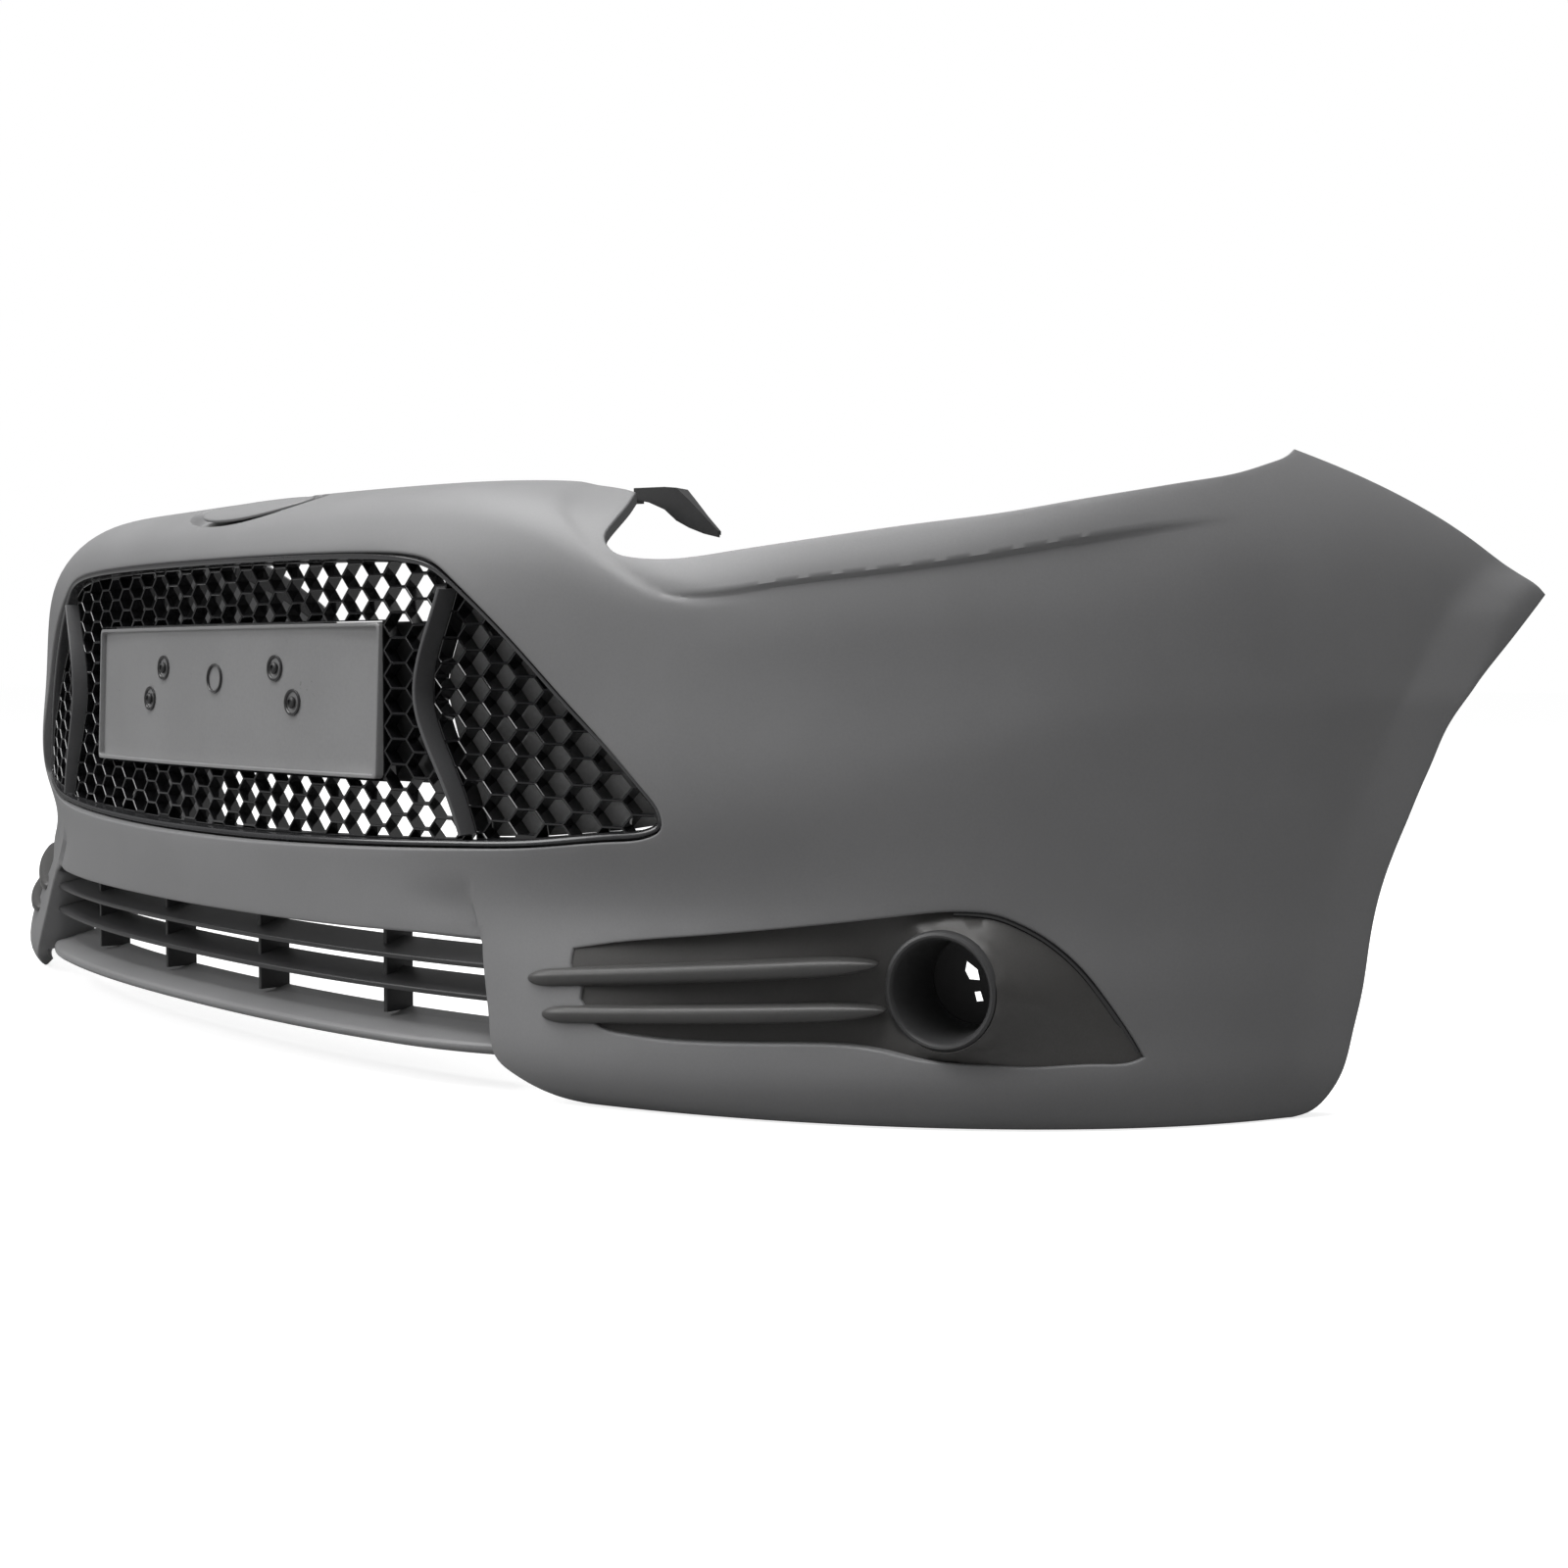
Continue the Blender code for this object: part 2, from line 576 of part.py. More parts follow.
left_side = beside(divider, DIVIDER_HALF + 0.0005)
right_side = beside(divider, -DIVIDER_HALF - 0.0005)
if left_side[3, 0] > right_side[3, 0]:
    left_side, right_side = right_side, left_side
left_side = left_side[np.argsort(left_side[:, 1])]
right_side = right_side[np.argsort(right_side[:, 1])]
centre_loop = cut_loop(rim_inner, left_side, False)
centre_loop = cut_loop(centre_loop, left_side * [-1, 1], True)
wedge_loop = cut_loop(rim_inner, right_side, True)

PLATE_CROWN = 0.0125          # the middle of the plate panel stands this far ahead of its ends
COMB_BEHIND = 0.0025          # the centre honeycomb's front, behind the plate panel's front
s_plate = float(np.interp(PLATE_HALF + 0.0038, plan_line[:, 0], plan_s))
hole_s = np.linspace(-s_plate, s_plate, 11)
plate_hole = np.array([(s, PLATE_LOW - 0.0027) for s in hole_s] + [(s, PLATE_HIGH + 0.0028) for s in hole_s[::-1]])


def comb_off(s):
    """Offset from the plan curve that puts the centre honeycomb on the plate panel's own crown."""
    x, y = plan_point(s, 0.0)
    target = SHIFT_Y - PLATE_CROWN * (1 - (x / PLATE_HALF) ** 2) + COMB_BEHIND
    return (y - target) / np.interp(s, plan_s, plan_t[:, 0])


def comb_front(s, z):
    return at_height(s, z, comb_off(s))


def comb_back(s, z):
    return at_height(s, z, comb_off(s) - COMB_DEPTH)


cells = hex_cells(centre_loop, [plate_hole], (0.0, .2998), 0.0016)
slab('honeycomb_centre', centre_loop, [plate_hole] + cells, [], comb_front, comb_back, 'gloss_black')


# the plate's carrier: a plain panel behind the middle rows of the honeycomb, out to the dividers
CARRIER_END = 0.3020
CARRIER_LOW = 0.2340
CARRIER_HIGH = 0.3642
carrier_s = np.linspace(-CARRIER_END, CARRIER_END, 15)
carrier_loop = np.array([(s, CARRIER_LOW) for s in carrier_s] + [(s, CARRIER_HIGH) for s in carrier_s[::-1]])
slab('plate_carrier', carrier_loop, [], [], lambda s, z: at_height(s, z, comb_off(s) - COMB_DEPTH - 0.0005),
     lambda s, z: at_height(s, z, comb_off(s) - COMB_DEPTH - 0.0030), 'bracket_black')


def wedge_off(s):
    return -0.021 + 0.014 * np.clip((np.abs(s) - 0.33) / 0.18, 0, 1)


def wedge_front(s, z):
    return at_height(s, z, wedge_off(s))


def wedge_back(s, z):
    return at_height(s, z, wedge_off(s) - COMB_DEPTH)


wedge_cells = hex_cells(wedge_loop, [], (0.0, .2998), 0.0016)
for side, sign in (('right', 1), ('left', -1)):
    flip = np.array([sign, 1])
    outline = wedge_loop * flip
    slab('honeycomb_' + side, outline, [c * flip for c in wedge_cells], [], wedge_front, wedge_back, 'gloss_black')
    slab('wedge_backing_' + side, shrink(outline, 0.0008), [], [],
         lambda s, z: at_height(s, z, wedge_off(s) - COMB_DEPTH - 0.0005),
         lambda s, z: at_height(s, z, wedge_off(s) - COMB_DEPTH - 0.0030), 'bracket_black')
    # the bar runs between the upper and lower rims and is deeper than the honeycomb
    bar_a = beside(divider, DIVIDER_HALF)
    bar_b = beside(divider, -DIVIDER_HALF)
    sections = []
    for a, b in zip(bar_a, bar_b):
        ring = [at_height(a[0] * sign, a[1], -0.0015), at_height(b[0] * sign, b[1], -0.0015),
                at_height(b[0] * sign, b[1], -0.036), at_height(a[0] * sign, a[1], -0.036)]
        sections.append(ring)
    ring_tube('grille_divider_' + side, sections, 'trim_satin', close_ends=True)

# ---------------------------------------------------------------- number-plate panel and its fixings
def plate_y(x, z):
    lean = 0.0046 * (PLATE_HIGH - z) / (PLATE_HIGH - PLATE_LOW)
    return SHIFT_Y - PLATE_CROWN * (1 - (x / PLATE_HALF) ** 2) - lean


def plate_place(depth):
    def place(x, z):
        return np.stack([x, plate_y(x, z) + depth, z], -1)
    return place


def box_loop(x0, z0, x1, z1, parts=1):
    xs = np.linspace(x0, x1, parts + 1)
    return np.array([(x, z0) for x in xs] + [(x, z1) for x in xs[::-1]])


BORDER = 0.0075
FACE = 0.0030
PLATE_PARTS = 14
BOSSES = [(0.1017, .3258), (0.1300, .2968), (-0.1017, .3258), (-0.1300, .2968)]
CENTRE_CAP = (0.0, .3165)
BOSS_HOLE = 0.0062
CAP_HOLE = 0.0098


def circle(x, z, radius, sides=12):
    turn = np.arange(sides) * 2 * math.pi / sides
    return np.stack([x + radius * np.cos(turn), z + radius * np.sin(turn)], -1)


def build_plate():
    outer = box_loop(-PLATE_HALF, PLATE_LOW, PLATE_HALF, PLATE_HIGH, PLATE_PARTS)
    inner = box_loop(-PLATE_HALF + BORDER, PLATE_LOW + BORDER, PLATE_HALF - BORDER, PLATE_HIGH - BORDER, PLATE_PARTS)
    holes = [circle(x, z, BOSS_HOLE) for x, z in BOSSES] + [circle(*CENTRE_CAP, CAP_HOLE)]
    flat, tris, loops = fill(inner, holes, [])
    raised = plate_place(0.0)
    sunk = plate_place(FACE)
    rear = plate_place(FACE + 0.0028)
    count = len(flat)
    size = len(outer)
    verts = np.vstack([sunk(flat[:, 0], flat[:, 1]), rear(flat[:, 0], flat[:, 1]),
                       raised(inner[:, 0], inner[:, 1]), raised(outer[:, 0], outer[:, 1]),
                       plate_place(FACE + 0.0028)(outer[:, 0], outer[:, 1])])
    faces = [tuple(t) for t in tris] + [tuple(t[::-1] + count) for t in tris]
    lip, rim, tail = 2 * count, 2 * count + size, 2 * count + 2 * size
    edge = loops[0]
    for k in range(size):
        j = (k + 1) % size
        faces.append((edge[k], lip + k, lip + j, edge[j]))
        faces.append((lip + k, rim + k, rim + j, lip + j))
        faces.append((rim + k, tail + k, tail + j, rim + j))
        faces.append((tail + k, edge[k] + count, edge[j] + count, tail + j))
    for loop in loops[1:]:
        for a, b in zip(loop, loop[1:] + loop[:1]):
            faces.append((a, a + count, b + count, b))
    return finish('number_plate_panel', verts, faces, 'plate_satin')


build_plate()


def plate_axis(x):
    slope = 2 * PLATE_CROWN * x / PLATE_HALF ** 2
    lean = 0.0046 / (PLATE_HIGH - PLATE_LOW)
    return Vector((slope, -1, lean)).normalized()


for number, (x, z) in enumerate(BOSSES, 1):
    spot = (x, plate_y(x, z) + FACE, z)
    lathe('plate_boss_%d' % number,
          [(0.0034, -0.008), (0.0058, -0.008), (0.0058, 0.0004), (0.0110, 0.0004), (0.0110, 0.0016), (0.0085, 0.0016),
           (0.0085, 0.0008), (0.0034, 0.0008)], spot, plate_axis(x), 'plate_satin', sides=16)
    lathe('plate_screw_%d' % number,
          [(0, -0.0095), (0.0026, -0.0095), (0.0026, 0.0012), (0.0052, 0.0012), (0.0046, 0.0030), (0, 0.0034)],
          spot, plate_axis(x), 'fastener_black', sides=12)
lathe('plate_centre_cap',
      [(0, -0.004), (0.0093, -0.004), (0.0093, 0.0004), (0.0132, 0.0004), (0.0132, 0.0018), (0.0108, 0.0018),
       (0.0108, 0.0008), (0, 0.0008)],
      (0, plate_y(0, CENTRE_CAP[1]) + FACE, CENTRE_CAP[1]), plate_axis(0), 'plate_satin', sides=20)

# ---------------------------------------------------------------- lower intake: two slats, four posts, chin lip
SLAT_END = 0.374
SLAT_S = np.linspace(-SLAT_END, SLAT_END, 17)
SLATS = {'lower_slat_upper': 0.0965, 'lower_slat_lower': 0.0715}
SLAT_FRONT = 0.000
SLAT_BACK = -0.034
SLAT_THICK = 0.0052
SLAT_RISE = 0.009             # each slat's rear edge is this much higher than its front


def slat_profile(s, z, front, back, thick):
    return [at_height(s, z, front), at_height(s, z + 0.55 * thick, front - 0.006),
            at_height(s, z + 0.5 * thick + SLAT_RISE, back), at_height(s, z - 0.5 * thick + SLAT_RISE, back),
            at_height(s, z - 0.45 * thick, front - 0.004)]


for name, z in SLATS.items():
    ring_tube(name, [slat_profile(s, z, SLAT_FRONT, SLAT_BACK, SLAT_THICK) for s in SLAT_S], 'trim_satin', close_ends=True)

LIP_S = np.linspace(-0.392, 0.392, 19)


def lip_profile(s):
    end = 0.010 * np.clip((abs(s) - 0.30) / 0.10, 0, 1) ** 2
    front = 0.014 - end
    pairs = [(front - 0.012, .0275), (front - 0.003, .0290), (front, .0330), (front - 0.004, .0372),
             (front - 0.020, .0415), (-0.030, .0460), (-0.041, .0490), (-0.041, .0275)]
    return [at_height(s, z, off) for off, z in pairs]


ring_tube('chin_lip', [lip_profile(s) for s in LIP_S], 'lip_grey', close_ends=True)

POST_S = (-0.262, -0.0865, 0.0865, 0.262)
for number, s in enumerate(POST_S, 1):
    ups = SLATS['lower_slat_upper']
    low = SLATS['lower_slat_lower']
    clear = 0.0036
    comb = [(-0.0420, .0500), (-0.0140, .0505)]
    for z in (low, ups):
        comb += [(-0.0140, z - clear), (-0.0345, z + .0045), (-0.0345, z + .0135), (-0.0140, z + .0080)]
    comb += [(-0.0140, .1165), (-0.0420, .1165)]
    outline = np.array(comb)
    half_thick = 0.0024
    slab('lower_post_%d' % number, outline, [], [],
         lambda o, z, s=s: np.stack([at_height(np.array([s - half_thick]), zz, oo)[0] for oo, zz in zip(o, z)]),
         lambda o, z, s=s: np.stack([at_height(np.array([s + half_thick]), zz, oo)[0] for oo, zz in zip(o, z)]), 'trim_satin')
# ---------------------------------------------------------------- fog corner: trim panel, two blades, tube, reveal
def pod_off(s, z):
    """Trim panel offset: set in behind the blades, swelling to a pod outboard of the tube."""
    t = np.clip((np.abs(s) - 0.735) / 0.075, 0, 1)
    rise = t * t * (3 - 2 * t)
    return -0.0105 + 0.0085 * rise


# windows of the lamp seat: inner radius, outer radius, first and last angle in degrees
# windows in the lamp seat, in its own plane: outward and up from its middle
SEAT_WINDOWS = [[(-.006, .014), (-.0075, .006), (-.004, 0), (.005, 0), (.003, .008)],
                [(0, -.009), (.002, -.016), (.008, -.015), (.0055, -.008)]]


def build_fog(side, sign):
    flip = np.array([sign, 1])
    narrow = shrink(fog_right, 0.0009)
    wide = shrink(fog_right, 0.0052)
    along_reveal = (fog_right[:, 0] > 0.760) & (fog_right[:, 1] > 0.075)
    outline = np.where(along_reveal[:, None], wide, narrow) * flip
    shift = 0.0052
    turn = np.arange(20) * 2 * math.pi / 20
    grow = FOG_RADIUS + 0.0013
    hole = np.stack([sign * (FOG_S + shift + grow * 1.075 * np.cos(turn)), FOG_Z + grow * np.sin(turn)], -1)

    def panel(extra):
        def place(s, z):
            base = skin_offset(s, z)
            return at_height(s, z, base + pod_off(s, z) + extra)
        return place

    pts = grid_inside(outline, [hole], 0.045, 0.024, 0.009)
    slab('fog_trim_' + side, outline, [hole], pts, panel(0.0), panel(-0.0028), 'trim_satin')
    # tube
    centre = at_height(np.array([sign * FOG_S]), FOG_Z, float(skin_offset(FOG_S, FOG_Z)[0]) + 0.003)[0]
    axis = (sign * math.sin(FOG_TURN), -math.cos(FOG_TURN), 0)
    lathe('fog_tube_' + side,
          [(FOG_RADIUS - 0.0030, 0.0), (FOG_RADIUS, -0.0035), (FOG_RADIUS - 0.001, -FOG_DEPTH), (FOG_BORE - 0.004, -FOG_DEPTH),
           (FOG_BORE - 0.003, -FOG_DEPTH + 0.006), (FOG_BORE, -0.006), (FOG_BORE + 0.0025, -0.001)],
          centre, axis, 'trim_satin', sides=28)
    # lamp seat: a disc on the tube's rear end, pierced by two windows
    centre = Vector(centre)
    out = Vector(axis)
    side_way = Vector((sign * math.cos(FOG_TURN), math.sin(FOG_TURN), 0))
    rear = centre - out * (FOG_DEPTH + 0.0004)

    def seat(extra):
        def place(u, v):
            flat_point = np.array(rear - out * extra) + u[:, None] * np.array(side_way)
            return flat_point + v[:, None] * np.array((0, 0, 1.0))
        return place

    windows = [np.array(corners, float) for corners in SEAT_WINDOWS]
    slab('fog_seat_' + side, circle(0, 0, FOG_RADIUS - 0.0012, 28), windows, [], seat(0.0), seat(0.0025), 'bracket_black')
    # blades
    for label, (s0, z0, s1, z1, tall) in {'upper': (.4300, .0920, .7000, .1155, .0066),
                                         'lower': (.4470, .0670, .7010, .0835, .0062)}.items():
        sections = []
        for t in np.linspace(0, 1, 15):
            s = s0 + (s1 - s0) * t
            z = z0 + (z1 - z0) * t
            swell = max(0.04, (1 - abs(2 * t - 1) ** 3.2)) ** 0.6
            h = tall * swell
            base = float(skin_offset(s, z)[0])
            out = 0.0075 * swell
            back = base + 0.0024
            sections.append([at_height(sign * s, z + h, back), at_height(sign * s, z + 0.25 * h, back + out),
                             at_height(sign * s, z - 0.35 * h, back + out * 0.92), at_height(sign * s, z - h, back)])
        ring_tube('fog_blade_%s_%s' % (label, side), sections, 'trim_satin', close_ends=True)


    # reveal strip between the pod and the edge of the recess, from over the tube to the rear point
    edge = shrink(fog_right, 0.0012)
    inner = shrink(fog_right, 0.0040)
    pick = np.where((fog_right[:, 0] > 0.765) & (fog_right[:, 1] > 0.075))[0]
    sections = []
    for k in pick:
        a, b = edge[k], inner[k]
        base = float(skin_offset(edge[k, 0], edge[k, 1])[0])
        sections.append([at_height(sign * a[0], a[1], base - 0.0012), at_height(sign * b[0], b[1], base - 0.0012),
                         at_height(sign * b[0], b[1], base - 0.0070), at_height(sign * a[0], a[1], base - 0.0070)])
    ring_tube('fog_reveal_' + side, sections, 'gloss_black', close_ends=True)


for side, sign in (('right', 1), ('left', -1)):
    build_fog(side, sign)

# ---------------------------------------------------------------- badge pad on the nose, above the grille
BADGE_W = 0.462
BADGE_HALF = 0.076
BADGE_RISE = 0.026


def badge_face(extra):
    def place(s, w):
        p = skin_point(s, w)
        return p + skin_normal(s, w) * extra
    return place


turn = np.arange(28) * 2 * math.pi / 28
badge_loop = np.stack([BADGE_HALF * np.cos(turn), BADGE_W + BADGE_RISE * np.sin(turn)], -1)
slab('badge_pad', badge_loop, [], [(0.0, BADGE_W), (0.035, BADGE_W), (-0.035, BADGE_W)],
     badge_face(0.0032), badge_face(0.0012), 'primer')

# ---------------------------------------------------------------- headlamp-corner brackets
BRACKET = [(.446, .4620, .4710, -.150), (.462, .4590, .4710, -.148), (.478, .4530, .4710, -.145),
           (.490, .4440, .4700, -.140), (.503, .4380, .4600, -.134), (.518, .4330, .4470, -.1285), (.532, .4300, .4350, -.1255)]
for side, sign in (('right', 1), ('left', -1)):
    sections = []
    for s, low, high, deep in BRACKET:
        sections.append([at_height(sign * s, low, -.1200), at_height(sign * s, high, -.1200),
                         at_height(sign * s, high, deep), at_height(sign * s, high - .0030, deep),
                         at_height(sign * s, high - .0030, -.1232), at_height(sign * s, low, -.1232)])
    ring_tube('headlamp_bracket_' + side, sections, 'bracket_black', close_ends=True)

# ---------------------------------------------------------------- top mounting rail and its expanding rivets
RAIL_END = 0.436
RAIL_TOP = 0.4640
RAIL_THICK = 0.0030
RAIL_FRONT = -0.1195
RAIL_BACK = -0.1500
RIVET_S = (-0.320, -0.120, 0.120, 0.320)
RIVET_OFF = -0.1345
HOLE = 0.0043


def flat_place(height):
    def place(s, off):
        x, y = plan_point(s, off)
        return np.stack([x, y, np.full(len(x), height)], -1)
    return place


rail_s = np.linspace(-RAIL_END, RAIL_END, 19)
rail_loop = np.array([(s, RAIL_BACK) for s in rail_s] + [(s, RAIL_FRONT) for s in rail_s[::-1]])
rail_holes = [circle(s, RIVET_OFF, HOLE, 12) for s in RIVET_S]
slab('top_mount_rail', rail_loop, rail_holes, [], flat_place(RAIL_TOP), flat_place(RAIL_TOP - RAIL_THICK), 'bracket_black')
for number, s in enumerate(RIVET_S, 1):
    spot = at_height(np.array([s]), RAIL_TOP, RIVET_OFF)[0]
    lathe('rivet_body_%d' % number,
          [(0.0024, -0.0150), (0.0032, -0.0150), (0.0037, -0.0110), (0.0037, 0.0003), (0.0090, 0.0003), (0.0086, 0.0020),
           (0.0056, 0.0024), (0.0053, 0.0012), (0.0024, 0.0012)], spot, (0, 0, 1), 'fastener_black', sides=14)
    lathe('rivet_pin_%d' % number,
          [(0, -0.0145), (0.0012, -0.0145), (0.0020, -0.0125), (0.0020, 0.0016), (0.0048, 0.0016), (0.0045, 0.0030),
           (0, 0.0034)], spot, (0, 0, 1), 'fastener_black', sides=14)

# ---------------------------------------------------------------- wing-end retainers behind the fender joint line
RETAINER_S = np.linspace(1.085, 1.245, 7)
fender = np.array([(1.064, .4945)] + FENDER)
for side, sign in (('right', 1), ('left', -1)):
    sections = []
    for s in RETAINER_S:
        z = float(np.interp(s, fender[:, 0], fender[:, 1])) - 0.030
        base = float(skin_offset(s, z)[0]) - 0.0200
        sections.append([at_height(sign * s, z - .007, base), at_height(sign * s, z + .007, base - .004),
                         at_height(sign * s, z + .007, base - .0075), at_height(sign * s, z - .007, base - .0035)])
    ring_tube('wing_retainer_' + side, sections, 'bracket_black', close_ends=True)
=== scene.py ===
import math
import bpy
import bmesh
import numpy as np
from mathutils import Matrix, Vector
from mathutils.geometry import delaunay_2d_cdt


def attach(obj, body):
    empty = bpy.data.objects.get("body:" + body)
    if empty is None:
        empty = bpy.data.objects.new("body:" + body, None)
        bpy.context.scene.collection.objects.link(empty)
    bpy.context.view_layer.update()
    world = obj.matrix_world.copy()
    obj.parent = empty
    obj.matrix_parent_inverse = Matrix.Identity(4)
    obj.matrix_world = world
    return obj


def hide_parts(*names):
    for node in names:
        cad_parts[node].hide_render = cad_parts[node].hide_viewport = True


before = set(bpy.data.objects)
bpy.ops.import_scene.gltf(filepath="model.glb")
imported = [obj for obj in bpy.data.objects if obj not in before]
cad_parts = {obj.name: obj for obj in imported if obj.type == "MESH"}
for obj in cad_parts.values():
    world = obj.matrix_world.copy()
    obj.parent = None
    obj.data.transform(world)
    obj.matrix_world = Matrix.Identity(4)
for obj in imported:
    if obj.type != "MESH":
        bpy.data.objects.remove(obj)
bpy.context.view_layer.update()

print('frame loaded:', len(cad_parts), 'nodes')

# Everything is laid out on the cover's own surface: s runs along the plan curve (0 at the middle of the car),
# w runs up the cross-section, and off is the distance outward from the wall that stands on the plan curve.
shiftY = -0.3112         # puts the middle of the depth on y = 0

# the moulded skin: driving values
cover = {
    'thick': 0.0032,     # wall
    'roll': 0.0022,      # radius of a rolled edge
    'mesh': 0.0062,      # size of the surface's squares
    'edge': 0.0042,      # spacing of points along an edge
    # plan curve: x across, y back from the number-plate face
    'plan': [(0.0, -.033), (.18, -.0255), (.35, .003), (.5285, .064), (.645, .127), (.748, .208), (.825, .300),
             (.871, .400), (.893, .510), (.905, .640), (.910, .720)],
    # cross-sections: at each station along s, the height and outward offset of ten rows
    'stations': [0, .20, .35, .45, .53, .62, .74, .86, .98, 1.10, 1.22, 1.36],
    'rowW': [0, .022, .062, .105, .150, .215, .300, .370, .405, .500],
    'rowZ': [[0] * 12,
             [.017, .017, .017, .017, .018, .021, .025, .026, .026, .026, .026, .026],
             [.060] * 12, [.105] * 12, [.150] * 12,
             [.212, .212, .212, .212, .212, .218, .231, .253, .262, .270, .275, .280],
             [.300, .300, .300, .300, .300, .300, .305, .320, .325, .325, .325, .320],
             [.395, .395, .395, .385, .362, .365, .378, .392, .405, .408, .395, .375],
             [.438, .438, .438, .417, .386, .389, .403, .423, .440, .445, .430, .405],
             [.484, .483, .480, .470, .452, .455, .466, .482, .500, .505, .480, .445]],
    'rowOff': [[.002, .002, .002, .004, .006, .006, .004, 0, -.004, -.006, -.006, -.006],
               [.012, .012, .014, .018, .018, .016, .013, .007, .001, -.001, -.001, -.001],
               [.014, .014, .014, .015, .015, .013, .010, .006, .002, 0, 0, 0],
               [.010, .010, .008, .002, .002, .004, .005, .004, .002, 0, 0, 0],
               [.008, .006, 0, -.010, -.011, -.007, -.002, 0, 0, 0, 0, 0],
               [.002, .002, .001, 0, .001, .003, .003, .002, 0, 0, 0, 0],
               [0, 0, 0, 0, 0, 0, 0, 0, -.002, -.002, -.001, 0],
               [-.003, -.003, -.003, -.003, -.004, -.004, -.005, -.008, -.013, -.016, -.010, -.004],
               [-.016, -.016, -.015, -.011, -.009, -.008, -.009, -.014, -.025, -.030, -.022, -.010],
               [-.112, -.110, -.106, -.102, -.080, -.058, -.048, -.050, -.062, -.074, -.060, -.030]],
    # edges in s and height, right-hand half
    'headlamp': [(.463, .4665), (.470, .4560), (.4745, .4360), (.4755, .4290), (.480, .4225), (.490, .4150),
                 (.503, .4110), (.522, .4090), (.544, .4095), (.580, .4135), (.630, .4195), (.678, .4255),
                 (.735, .4325), (.793, .4395), (.840, .4475), (.888, .4555), (.940, .4640), (.989, .4725),
                 (1.025, .4815), (1.050, .4885), (1.064, .4945)],
    'fender': [(1.064, .4945), (1.105, .4840), (1.148, .4710), (1.205, .4490), (1.255, .4240), (1.290, .4020),
               (1.307, .3890)],
    'arch': [(1.307, .3890), (1.275, .3690), (1.243, .3480), (1.211, .3265), (1.182, .3040), (1.160, .2810),
             (1.145, .2580), (1.131, .2370), (1.119, .2170), (1.103, .1900), (1.091, .1630), (1.081, .1270),
             (1.074, .0900), (1.066, .0620), (1.060, .0420), (1.047, .0150), (1.036, .0045), (1.020, 0)],
    'fang': [(.484, 0), (.461, .0030), (.443, .0095), (.425, .0190), (.408, .0310), (.400, .0520),
             (.391, .0850), (.3835, .1130)],
    'intakeTop': [(.3790, .1185), (.340, .1190), (.25, .1180), (.12, .1170), (0, .1165)],
    'grille': [(0, .4220), (.10, .4218), (.19, .4210), (.26, .4190), (.300, .4155), (.325, .4095),
               (.347, .3965), (.409, .3480), (.459, .3020), (.501, .2640), (.530, .2345), (.5405, .2190),
               (.5400, .2090),
               (.5315, .2030), (.499, .1975), (.420, .1895), (.358, .1862), (.289, .1835), (.19, .1805),
               (.09, .1785), (0, .1780)],
    'fogUpper': [(.465, .1155), (.504, .1225), (.555, .1290), (.604, .1350), (.679, .1450), (.733, .1525),
                 (.755, .1548), (.772, .1550), (.790, .1530), (.804, .1480), (.821, .1395), (.836, .1290),
                 (.851, .1150), (.864, .0990), (.877, .0810), (.887, .0660), (.8945, .0530)],
    'fogLower': [(.8945, .0530), (.889, .0505), (.862, .0485), (.840, .0480), (.805, .0470), (.787, .0480),
                 (.770, .0485), (.752, .0495), (.734, .0515), (.709, .0565), (.643, .0585), (.589, .0562),
                 (.546, .0560), (.517, .0580), (.495, .0630), (.486, .0710)],
    'fogSteps': [(.486, .0710), (.478, .0800), (.478, .0890), (.470, .0950), (.465, .1050), (.465, .1155)],
    'archCrease': [(1.018, .031), (1.037, .127), (1.052, .189), (1.076, .236), (1.116, .301), (1.180, .372),
                   (1.252, .414)],
}


# smooth curves through a few points
def bendsOf(knots, values):
    # second derivatives of the natural cubic spline: for each inner knot i,
    # h[i-1] m[i-1] + 2 (h[i-1] + h[i]) m[i] + h[i] m[i+1] = 6 (slope[i] - slope[i-1])
    count = len(knots)
    step = np.diff(knots)
    flat = values.reshape(count, -1)
    slope = np.diff(flat, axis=0) / step[:, None]
    lhs = np.eye(count)
    rhs = np.zeros_like(flat)
    inner = np.arange(1, count - 1)
    lhs[inner, inner - 1] = step[:-1]
    lhs[inner, inner] = 2 * (step[:-1] + step[1:])
    lhs[inner, inner + 1] = step[1:]
    rhs[1:-1] = 6 * np.diff(slope, axis=0)
    return np.linalg.solve(lhs, rhs).reshape(values.shape)


def splineAt(knots, values, bends, at):
    # between knots i and i+1: a v[i] + b v[i+1] + ((a^3 - a) m[i] + (b^3 - b) m[i+1]) h^2 / 6
    i = np.clip(np.searchsorted(knots, at) - 1, 0, len(knots) - 2)
    h = knots[i + 1] - knots[i]
    a = (knots[i + 1] - at) / h
    b = 1 - a
    grow = (...,) + (None,) * (values.ndim - 1)
    cubic = (a ** 3 - a)[grow] * bends[i] + (b ** 3 - b)[grow] * bends[i + 1]
    return a[grow] * values[i] + b[grow] * values[i + 1] + cubic * (h ** 2 / 6)[grow]


def runOf(points):
    # distance travelled along a line of points
    return np.concatenate([[0], np.cumsum(np.linalg.norm(np.diff(points, axis=0), axis=1))])


def curveThrough(points, step):
    # an open curve through the points, with a point about every step
    points = np.asarray(points, float)
    run = runOf(points)
    count = max(2, round(run[-1] / step))
    return splineAt(run, points, bendsOf(run, points), np.linspace(0, run[-1], count + 1))


